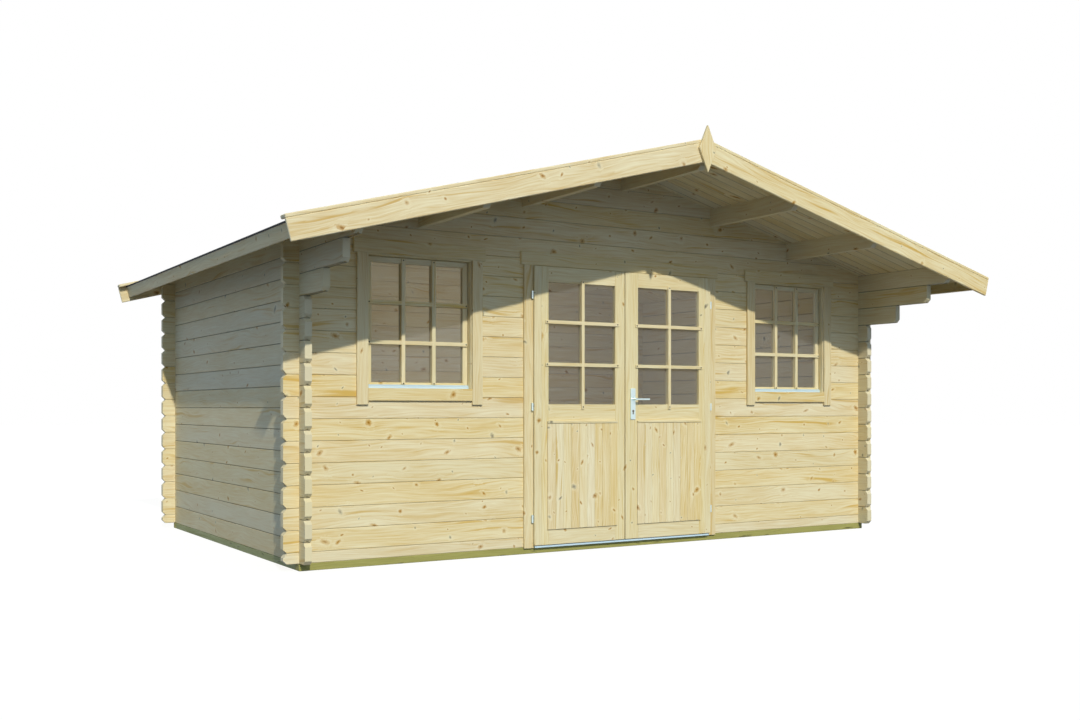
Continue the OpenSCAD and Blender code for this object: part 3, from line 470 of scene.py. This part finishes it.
# zinc shows as a pale blue grey with a faint cloud of about 12 mm
zinc = metal("zinc_plated_steel", (1 / 0.012,) * 3, 3.0, "#B8CACE", "#D4E3E6", (0.3, 0.5))
nails_along, first_nail = 40, 0.13
nail_in, nail_proud, nail_head = 0.025, 0.0006, 0.01
nail_gap = (roof_back - roof_front - 2 * first_nail) / (nails_along - 1)
bm = bmesh.new()
for side in (-1, 1):
    turn = slope_turn(side)
    out = turn.to_3x3() @ Vector((0, 0, 1))
    for end in (cap, *lap_ends):
        for i in range(nails_along):
            y = roof_front + first_nail + i * nail_gap
            nail(bm, turn @ Vector((side * (end - nail_in), y, lap_hi + nail_proud)), out, nail_head)
clouts = piece("felt_nails", bm, zinc)
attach(clouts, "cabin")


# Roof edges: planed spruce boards screwed over the ends of the roof. Eave boards close the lower
# ends, bargeboards close the gables and reach past the eaves, and a cover strip on each clamps the felt.
EDGE_PALE, EDGE_LATE = "#EADFB6", "#CAA657"
edge_spruce = timber("planed_spruce_gable_edges", "X", "Z", "Y", EDGE_PALE, EDGE_LATE, SPRUCE_KNOT, 61.3,
                     slope=pitch, knots=0.6)
# painted shade: the eave boards, which stand in shade, get a darker copy of the spruce colours
SHADED_EAVE_PALE, SHADED_EAVE_LATE = "#DBCFA4", "#BC9A4A"
eave_spruce = timber("planed_spruce_eaves", "Y", "Z", "X", SHADED_EAVE_PALE, SHADED_EAVE_LATE, SPRUCE_KNOT, 67.1,
                     slope=pitch, knots=0.6)
eave_w, eave_edge = 0.092, 0.002
bm = new_boards()
for side in (-1, 1):
    eave = [(side * s, n) for s, n in oblong(slope_end - eave_t, slope_end, deck_t - eave_w, deck_t)]
    board(bm, eave, roof_front, roof_back, eave_edge, turn=slope_turn(side))
eaves = piece("planed_eave_boards", bm, eave_spruce)
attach(eaves, "cabin")
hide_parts("eave_boards")
barge_past, barge_h, barge_edge = 0.062, 0.125, 0.004
strip_air, strip_h = 0.0003, 0.022
strip_lo = felt_hi + strip_air
for end in ("front", "back"):
    for name, n0, n1 in (("bargeboards", felt_hi - barge_h, felt_hi),
                         ("cover_strips", strip_lo, strip_lo + strip_h)):
        low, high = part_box(end + "_" + name)
        bm = new_boards()
        for side in (-1, 1):
            board(bm, slope_outline(side, n0, n1, slope_end + barge_past), low.y, high.y, barge_edge,
                  turn=slope_turn(side))
        edging = piece("planed_" + end + "_" + name, bm, edge_spruce)
        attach(edging, "cabin")
        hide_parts(end + "_" + name)


# Gable diamonds: a spruce board at each gable, sawn to a diamond with upright grain and planed, its
# edges broken, and nailed over the joint of the bargeboards.
upright_edge = timber("planed_spruce_diamonds", "Z", "X", "Y", EDGE_PALE, EDGE_LATE, SPRUCE_KNOT, 71.9,
                      knots=0.2)
low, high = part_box("gable_diamonds")
middle = (low.z + high.z) / 2
diamond_t, diamond_edge = 0.020, 0.003
bm = new_boards()
for y in (low.y, high.y - diamond_t):
    board(bm, [(0, low.z), (high.x, middle), (0, high.z), (low.x, middle)], y, y + diamond_t, diamond_edge)
diamonds = piece("planed_gable_diamonds", bm, upright_edge)
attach(diamonds, "cabin")
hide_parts("gable_diamonds")


# Windows: spruce frames let into the logs. The mitred sash holds one pane; loose bars pinned on in
# front of it and behind it divide it in nine, and an aluminium drip rail runs along its foot.
JOINERY_PALE, JOINERY_LATE = "#E7DCB3", "#D1B571"
upright_joinery = timber("planed_spruce_upright_joinery", "Z", "X", "Y", JOINERY_PALE, JOINERY_LATE,
                         SPRUCE_KNOT, 13.7, knots=0.5)
lying_joinery = timber("planed_spruce_lying_joinery", "X", "Z", "Y", JOINERY_PALE, JOINERY_LATE,
                       SPRUCE_KNOT, 17.3, knots=0.5)
upright_clear = timber("planed_clear_spruce_upright", "Z", "X", "Y", JOINERY_PALE, JOINERY_LATE,
                       SPRUCE_KNOT, 83.3, knots=0.08)
lying_clear = timber("planed_clear_spruce_lying", "X", "Z", "Y", JOINERY_PALE, JOINERY_LATE,
                     SPRUCE_KNOT, 87.1, knots=0.08)
glass = bare_material("float_glass")
tree = glass.node_tree
place = add(tree, "TexCoord", {}, {}).outputs["Object"]
# float glass is all but flat: a wave of about 300 mm only bends its reflections a little
wave = add(tree, "TexNoise", {"Scale": 1 / 0.3, "Detail": 1.0}, {"Vector": place})
bump = add(tree, "Bump", {"Strength": 0.1, "Distance": 0.002}, {"Height": wave.outputs[0]})
shader = add(tree, "BsdfPrincipled",
             {"Base Color": linear("#74777A"), "Roughness": 0.04, "IOR": 1.5, "Alpha": 0.25},
             {"Normal": bump})
add(tree, "OutputMaterial", {}, {"Surface": shader})
for name in ("window_glass", "left_door_glass", "right_door_glass"):
    node[name].material_slots[0].material = glass

# matt anodising leaves a pale blue grey without mirror shine; fine lines run along the drawn rails,
# 3 mm wide here so that they show
aluminium = metal("anodised_aluminium", (2.0, 330.0, 330.0), 2.0, "#B9D3E0", "#CBE0EA", (0.42, 0.6), 0.35)
node["window_drip_rails"].material_slots[0].material = aluminium
# blued wire is near black, with a faint cloud of about 3 mm in its sheen
pin_steel = metal("blued_pin_steel", (1 / 0.003,) * 3, 1.0, "#1D1A15", "#2E2A23", (0.4, 0.6))


def mitred(bm, x0, x1, z0, z1, width, front, back, bevel):
    """Four members mitred at the corners of a rectangle, and as wide as given."""
    a, b, c, d = oblong(x0, x1, z0, z1)
    e, f, g, h = oblong(x0 + width, x1 - width, z0 + width, z1 - width)
    for outline, grain in (((a, b, f, e), 1), ((b, c, g, f), 0), ((c, d, h, g), 1), ((d, a, e, h), 0)):
        board(bm, outline, front, back, bevel, grain)


jamb, head, sill, casing_edge = 0.032, 0.052, 0.056, 0.002
sash_w, play, sash_edge = 0.038, 0.0025, 0.003
bar_w, bar_front, drip_top, bar_in, bar_edge = 0.026, 0.028, 0.0245, 0.008, 0.002
# a bar's foot reaches from 2 mm inside the bar to the pane, and uprights stand a hair off the faces of
# the others
bite, hair, pane_air, foot_edge, rear_edge = 0.002, 0.0004, 0.0003, 0.0005, 0.0015
pin_up, pin_in, pin_head, forward = 0.007, 0.018, 0.011, (0, -1, 0)
wall_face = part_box("left_window_frame")[0].y
for side in ("left", "right"):
    low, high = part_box(side + "_window_frame")
    bm = new_boards()
    for x in (low.x, high.x - jamb):
        board(bm, oblong(x, x + jamb, low.z + sill, high.z - head), low.y, high.y, casing_edge)
    board(bm, oblong(low.x, high.x, low.z, low.z + sill), low.y, high.y, casing_edge, grain=1)
    board(bm, oblong(low.x, high.x, high.z - head, high.z), low.y, high.y, casing_edge, grain=1)
    casing = piece(side + "_window_casing", bm, upright_joinery, lying_joinery)
    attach(casing, "cabin")
    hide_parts(side + "_window_frame")

    low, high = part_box(side + "_window_sash")
    bm = new_boards()
    mitred(bm, low.x + play, high.x - play, low.z + play, high.z - play, sash_w - play, low.y, high.y,
           sash_edge)
    sash = piece(side + "_mitred_sash", bm, upright_joinery, lying_joinery)
    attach(sash, "cabin")
    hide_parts(side + "_window_sash")

    # the bars lap over the sash, where a pin holds each end, and a like set lies behind the pane
    pane_x, pane_z = (low.x + sash_w, high.x - sash_w), (low.z + sash_w, high.z - sash_w)
    face, back = wall_face + bar_front, low.y
    pane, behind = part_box("window_glass")[0].y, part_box("window_glass")[1].y
    bm, pins = new_boards(), bmesh.new()
    for part in (1 / 3, 2 / 3):
        x = pane_x[0] + part * (pane_x[1] - pane_x[0])
        z = pane_z[0] + part * (pane_z[1] - pane_z[0])
        bar_x, bar_z = (x - bar_w / 2, x + bar_w / 2), (z - bar_w / 2, z + bar_w / 2)
        board(bm, oblong(*bar_x, low.z + drip_top, high.z - bar_in), face - hair, back, bar_edge)
        board(bm, oblong(*bar_x, *pane_z), back - bite, pane, foot_edge)
        board(bm, oblong(low.x + bar_in, high.x - bar_in, *bar_z), face, back, bar_edge, grain=1)
        board(bm, oblong(*pane_x, *bar_z), back - bite, pane, foot_edge, grain=1)
        board(bm, oblong(*bar_x, *pane_z), behind + pane_air, high.y - hair, rear_edge)
        board(bm, oblong(*pane_x, *bar_z), behind + pane_air, high.y, rear_edge, grain=1)
        for at in ((x, face, low.z + drip_top + pin_up), (x, face, high.z - pin_in),
                   (low.x + pin_in, face, z), (high.x - pin_in, face, z)):
            nail(pins, at, forward, pin_head)
    bars = piece(side + "_window_bars", bm, upright_clear, lying_clear)
    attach(bars, "cabin")
    pins = piece(side + "_window_bar_pins", pins, pin_steel)
    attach(pins, "cabin")


# Trims: planed spruce boards nailed flat on the logs around the windows and the door. The head
# boards lie across the tops of the uprights and reach a little past them.
TRIM_PALE = "#E3D6AA"
upright_trim = timber("planed_spruce_upright_trims", "Z", "X", "Y", TRIM_PALE, SPRUCE_LATE, SPRUCE_KNOT,
                      27.1, knots=0.5)
lying_trim = timber("planed_spruce_lying_trims", "X", "Z", "Y", TRIM_PALE, SPRUCE_LATE, SPRUCE_KNOT,
                    29.3, knots=0.5)
trim_w, head_trim_h, trim_ear, trim_air, trim_edge = 0.076, 0.090, 0.022, 0.0003, 0.002
sill_lift, sill_trim_h = 0.025, 0.079
for opening, name in (("left_window", "left_planed_window_trims"),
                      ("right_window", "right_planed_window_trims"), ("door", "planed_door_trims")):
    low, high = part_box(opening + "_trims")
    under_head = high.z - head_trim_h
    bm = new_boards()
    for x in (low.x + trim_ear, high.x - trim_ear - trim_w):
        board(bm, oblong(x, x + trim_w, low.z, under_head - trim_air), low.y, high.y, trim_edge)
    board(bm, oblong(low.x, high.x, under_head, high.z), low.y, high.y, trim_edge, grain=1)
    if opening != "door":
        inside, sill_z = trim_ear + trim_w + trim_air, low.z + sill_lift
        board(bm, oblong(low.x + inside, high.x - inside, sill_z, sill_z + sill_trim_h), low.y, high.y,
              trim_edge, grain=1)
    trims = piece(name, bm, upright_trim, lying_trim)
    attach(trims, "cabin")
    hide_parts(opening + "_trims")


# Door frame: spruce jambs, head and sill, rebated so that the leaves close against a step. An
# aluminium angle covers the sill, and the lower halves of six zinc-plated hinges are screwed in.
low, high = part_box("door_frame")
stop, jamb, rebate, head, sill = 0.017, 0.036, 0.005, 0.0605, 0.018
head_air, frame_edge = 0.0003, 0.001
stop_y, jamb_top = low.y + rebate, high.z - head - head_air
bm = new_boards()
for side in (-1, 1):
    x = [side * (high.x - d) for d in (jamb + stop, jamb, 0)]
    board(bm, oblong(*sorted((x[0], x[2])), low.z, jamb_top), stop_y, high.y, frame_edge)
    board(bm, oblong(*sorted((x[1], x[2])), low.z, jamb_top), low.y, stop_y, frame_edge)
board(bm, oblong(low.x, high.x, high.z - head, high.z), stop_y, high.y, frame_edge, grain=1)
board(bm, oblong(low.x, high.x, high.z - head + stop, high.z), low.y, stop_y, frame_edge, grain=1)
sill_x = (low.x + jamb + stop, high.x - jamb - stop)
board(bm, oblong(*sill_x, low.z, low.z + sill), stop_y, high.y, frame_edge, grain=1)
casing = piece("rebated_door_casing", bm, upright_joinery, lying_joinery)
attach(casing, "cabin")
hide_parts("door_frame")
node["door_threshold"].material_slots[0].material = aluminium
for name in ("door_frame_hinges", "left_door_hinges", "right_door_hinges"):
    node[name].material_slots[0].material = zinc


# Door leaves: spruce stiles and rails around a pane; each outer stile is glued up from two lamellas and
# rebated over the frame. Narrow upright boards are nailed on the front of each leaf below, with a drip
# strip over their tops, and bars pinned on the front divide the pane in six.
panel_spruce = timber("planed_spruce_door_boards", "Z", "X", "Y", "#EBE1BC", JOINERY_LATE, SPRUCE_KNOT,
                      38.9, knots=0.8, vary=0.36)
pane_seat, lip_w, lip_d, lamella, leaf_edge, rail_edge = 0.008, 0.014, 0.0167, 0.057, 0.002, 0.001
panel_boards, panel_gap, panel_edge, board_t = 9, 0.0004, 0.002, 0.010
strip_h, strip_d, lap, air = 0.017, 0.016, 0.012, 0.0003
bar_w, bar_d, bar_edge, rear_in, bar_heights = 0.024, 0.009, 0.0015, 0.002, (1.287, 1.576)
past, past_foot, past_head = 0.027, 0.033, 0.020
pin_in, pin_under, pin_over = 0.012, 0.018, 0.010
for side, name in ((-1, "left"), (1, "right")):
    leaf_low, leaf_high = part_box(name + "_door_frame")
    panel_low, panel_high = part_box(name + "_door_panel")
    pane_low, pane_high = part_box(name + "_door_glass")
    front, back = leaf_low.y, leaf_high.y
    field = [pane_low.x + pane_seat, pane_high.x - pane_seat]
    boards_top = panel_high.z - strip_h - air
    open_z = (panel_low.z + lap, boards_top - lap)
    pane_z = (pane_low.z + pane_seat, pane_high.z - pane_seat)
    leaf_z = (leaf_low.z, leaf_high.z)
    meeting, lip = sorted((leaf_low.x, leaf_high.x), key=abs)
    inner, outer = sorted(field, key=abs)
    glue = lip - side * lamella
    bm = new_boards()
    board(bm, oblong(*sorted((glue, lip)), *leaf_z), front, front + lip_d, leaf_edge)
    board(bm, oblong(*sorted((glue, lip - side * lip_w)), *leaf_z), front + lip_d, back, rail_edge)
    board(bm, oblong(*sorted((outer, glue)), *leaf_z), front, back, rail_edge)
    board(bm, oblong(*sorted((meeting, inner)), *leaf_z), front, back, leaf_edge)
    for z0, z1 in ((leaf_low.z, open_z[0]), (open_z[1], pane_z[0]), (pane_z[1], leaf_high.z)):
        board(bm, oblong(*field, z0, z1), front, back, rail_edge, grain=1)
    leaf = piece(name + "_leaf_stiles_and_rails", bm, upright_joinery, lying_joinery)
    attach(leaf, name + "_door")
    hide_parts(name + "_door_frame")

    cover = (panel_high.x - panel_low.x) / panel_boards
    bm = new_boards()
    for i in range(panel_boards):
        x = panel_low.x + i * cover
        board(bm, oblong(x + panel_gap, x + cover - panel_gap, panel_low.z, boards_top),
              front - air - board_t, front - air, panel_edge)
    board(bm, oblong(panel_low.x, panel_high.x, boards_top + air, panel_high.z), front - air - strip_d,
          front - air, panel_edge, grain=1)
    panel = piece(name + "_leaf_boards", bm, panel_spruce, lying_joinery)
    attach(panel, name + "_door")
    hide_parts(name + "_door_panel")

    # the bars stand 9 mm in front of the leaf, lap over its stiles and rails, and reach back to the pane,
    # with a like set behind it
    bm, pins = new_boards(), bmesh.new()
    face = front - bar_d
    x = (field[0] + field[1]) / 2
    bar_x = (x - bar_w / 2, x + bar_w / 2)
    board(bm, oblong(*bar_x, pane_z[0] - past_foot, pane_z[1] + past_head), face - hair, front, bar_edge)
    board(bm, oblong(*bar_x, *pane_z), front - bite, pane_low.y, foot_edge)
    board(bm, oblong(*bar_x, *pane_z), pane_high.y + air, back - rear_in - hair, rear_edge)
    nail(pins, (x, face, pane_z[0] - pin_under), forward, pin_head)
    nail(pins, (x, face, pane_z[1] + pin_over), forward, pin_head)
    for z in bar_heights:
        bar_z = (z - bar_w / 2, z + bar_w / 2)
        board(bm, oblong(field[0] - past, field[1] + past, *bar_z), face, front, bar_edge, grain=1)
        board(bm, oblong(*field, *bar_z), front - bite, pane_low.y, foot_edge, grain=1)
        board(bm, oblong(*field, *bar_z), pane_high.y + air, back - rear_in, rear_edge, grain=1)
        for x in (field[0] - past + pin_in, field[1] + past - pin_in):
            nail(pins, (x, face, z), forward, pin_head)
    bars = piece(name + "_leaf_bars", bm, upright_clear, lying_clear)
    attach(bars, name + "_door")
    pins = piece(name + "_leaf_bar_pins", pins, pin_steel)
    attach(pins, name + "_door")


# Handle: a pressed plate on each face of the right leaf and a lever on a spindle, both of satin
# aluminium with rounded edges, and a lock cylinder of steel below the lever, whose dark tone and
# near-black keyway are partly painted shade.

# satin aluminium is brushed upright; the brush lines are drawn 1 mm wide so that they show close up
satin = metal("satin_aluminium", (1000.0, 1000.0, 20.0), 2.0, "#C2D6D9", "#D8E7E8", (0.3, 0.45))


def rounded_bar(bm, low, high, axis, corner, edge):
    """A bar whose four edges along one axis are rounded off, and then its end edges too."""
    size = Vector(high) - Vector(low)
    place = Matrix.Translation((Vector(high) + Vector(low)) / 2) @ Matrix.Diagonal((*size, 1.0))
    made = bmesh.ops.create_cube(bm, size=1.0, matrix=place)["verts"]
    edges = dict.fromkeys(e for v in made for e in v.link_edges)
    long = [e for e in edges if abs((e.verts[1].co - e.verts[0].co).normalized()[axis]) > 0.9]
    made = bmesh.ops.bevel(bm, geom=long, offset=corner, segments=5, profile=0.5, affect="EDGES", material=-1)
    verts = dict.fromkeys(v for f in made["faces"] for v in f.verts)
    ends = [e for e in dict.fromkeys(e for v in verts for e in v.link_edges)
            if abs((e.verts[1].co - e.verts[0].co).normalized()[axis]) < 0.1]
    bmesh.ops.bevel(bm, geom=ends, offset=edge, segments=2, profile=0.5, affect="EDGES", material=-1)


plate_low, plate_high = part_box("handle_plates")
plate_t, plate_corner, plate_edge = 0.008, 0.006, 0.0015
bm = bmesh.new()
for y in (plate_low.y, plate_high.y - plate_t):
    rounded_bar(bm, (plate_low.x, y, plate_low.z), (plate_high.x, y + plate_t, plate_high.z), 1,
                plate_corner, plate_edge)
plates = piece("pressed_handle_plates", bm, satin)
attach(plates, "right_door")
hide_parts("handle_plates")

low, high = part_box("lever_handle")
neck_x, lever_z = (plate_low.x + plate_high.x) / 2, (low.z + high.z) / 2
grip_t, grip_h, grip_corner, grip_edge, neck_d = 0.012, 0.014, 0.005, 0.003, 0.018
bm = bmesh.new()
for y, plate_y in ((low.y, plate_low.y), (high.y - grip_t, plate_high.y)):
    rounded_bar(bm, (neck_x - neck_d / 2, y, lever_z - grip_h / 2),
                (high.x, y + grip_t, lever_z + grip_h / 2), 0, grip_corner, grip_edge)
    neck_y = sorted((y + grip_t / 2, plate_y))
    turn = Matrix.Translation((neck_x, sum(neck_y) / 2, lever_z)) @ Matrix.Rotation(math.pi / 2, 4, "X")
    bmesh.ops.create_cone(bm, cap_ends=True, segments=24, radius1=neck_d / 2, radius2=neck_d / 2,
                          depth=neck_y[1] - neck_y[0], matrix=turn)
lever = piece("bent_lever", bm, satin)
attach(lever, "lever")
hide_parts("lever_handle")

# turned steel, its dark tone partly painted shade for the shadows round the cylinder, with a cloud of
# about 5 mm in its sheen
lock = metal("lock_steel_with_painted_shade", (1 / 0.005,) * 3, 2.0, "#5E5C52", "#7C796C", (0.35, 0.55))
low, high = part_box("door_lock")
lock_x, lock_z, lock_r = (low.x + high.x) / 2, (low.z + high.z) / 2, (high.x - low.x) / 2
stem_w, stem_drop, stem_in, stem_corner, stem_edge = 0.010, 0.024, 0.0002, 0.0045, 0.0005
keyway_shade_w, keyway_shade_h, keyway_shade_t, keyway_shade_drop = 0.0016, 0.009, 0.0006, 0.001
bm = bmesh.new()
turn = Matrix.Translation((lock_x, (low.y + high.y) / 2, lock_z)) @ Matrix.Rotation(math.pi / 2, 4, "X")
bmesh.ops.create_cone(bm, cap_ends=True, segments=32, radius1=lock_r, radius2=lock_r, depth=high.y - low.y,
                      matrix=turn)
rounded_bar(bm, (lock_x - stem_w / 2, low.y + stem_in, lock_z - stem_drop),
            (lock_x + stem_w / 2, high.y - stem_in, lock_z), 1, stem_corner, stem_edge)
# painted shade: the keyway is not cut; a near-black sheet on each face stands in for its shade
for y in (low.y, high.y):
    place = Matrix.Translation((lock_x, y, lock_z - keyway_shade_drop))
    place = place @ Matrix.Diagonal((keyway_shade_w, keyway_shade_t, keyway_shade_h, 1.0))
    for v in bmesh.ops.create_cube(bm, size=1.0, matrix=place)["verts"]:
        for f in v.link_faces:
            f.material_index = 1
cylinder = piece("lock_cylinder", bm, lock, pin_steel)
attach(cylinder, "right_door")
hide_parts("door_lock")


# Studio: a pale floor that keeps the shadow, a cool even fill, a warm lamp high in front, a wide soft
# one low in front and one behind, a soft lamp in the room, so that it shows through the panes, and a
# camera to the left of the front.

def seen_directly(tree):
    """1 for what the camera, a reflection or the glass shows, and 0 for light that falls on the object."""
    ray = add(tree, "LightPath", {}, {})
    seen = add(tree, "Math", {"operation": "MAXIMUM"},
               {0: ray.outputs["Is Camera Ray"], 1: ray.outputs["Is Glossy Ray"]})
    return add(tree, "Math", {"operation": "MAXIMUM"}, {0: seen, 1: ray.outputs["Is Transmission Ray"]})


floor = bare_material("pale_studio_floor")
tree = floor.node_tree
# a dull blue grey under the lamps, so that little light comes back up, with a glow that makes it look white
matt = add(tree, "BsdfDiffuse", {"Color": linear("#596271")}, {})
lit = add(tree, "Emission", {"Color": linear("#F7F5EF")}, {"Strength": seen_directly(tree)})
both = add(tree, "AddShader", {}, {0: matt, 1: lit})
add(tree, "OutputMaterial", {}, {"Surface": both})
bm = bmesh.new()
bmesh.ops.create_circle(bm, cap_ends=True, radius=60.0, segments=96)
ground = piece("studio_floor", bm, floor)

world = bpy.data.worlds.new("studio")
world.use_nodes = True
world.node_tree.nodes.clear()
tree = world.node_tree
fill = add(tree, "Background", {"Color": (0.68, 0.95, 1.36, 1.0), "Strength": 0.42}, {})
backdrop = add(tree, "Background", {"Color": (1.0, 1.0, 1.0, 1.0), "Strength": 1.0}, {})
both = add(tree, "MixShader", {}, {0: seen_directly(tree), 1: fill, 2: backdrop})
add(tree, "OutputWorld", {}, {"Surface": both})
bpy.context.scene.world = world


def lamp(name, kind, energy, colour):
    """A new lamp in the scene, at the origin."""
    light = bpy.data.lights.new(name, kind)
    light.energy = energy
    light.color = colour
    made = bpy.data.objects.new(name, light)
    bpy.context.scene.collection.objects.link(made)
    return made


key = lamp("key_lamp", "SUN", 2.8, (1.0, 0.965, 0.88))
key.data.angle = math.radians(1)
key.rotation_euler = Vector((0.193, 0.82, -0.545)).to_track_quat("-Z", "Y").to_euler()
front_fill = lamp("front_fill", "SUN", 0.24, (0.93, 1.0, 0.96))
front_fill.data.angle = math.radians(50)
front_fill.rotation_euler = (math.radians(75), 0, 0)
back_lamp = lamp("back_lamp", "SUN", 1.6, (1.0, 0.96, 0.86))
back_lamp.data.angle = math.radians(15)
back_lamp.rotation_euler = Vector((-0.45, -0.8, -0.4)).to_track_quat("-Z", "Y").to_euler()
room_lamp = lamp("room_lamp", "POINT", 29.0, (0.92, 1.06, 1.42))
room_lamp.data.shadow_soft_size = 0.4
room_lamp.location = (0.0, 0.2, 1.5)
room_lamp.visible_camera = room_lamp.visible_glossy = room_lamp.visible_transmission = False

view = bpy.data.cameras.new("camera")
view.sensor_width = 36.0
view.lens = 38.486
view.shift_y = 0.0442
camera = bpy.data.objects.new("camera", view)
camera.location = (-4.8207, -7.857, 0.9909)
camera.rotation_euler = (math.pi / 2, 0, math.atan2(-0.52302, 0.85232))
bpy.context.scene.collection.objects.link(camera)
bpy.context.scene.camera = camera
bpy.context.scene.view_settings.view_transform = "Standard"
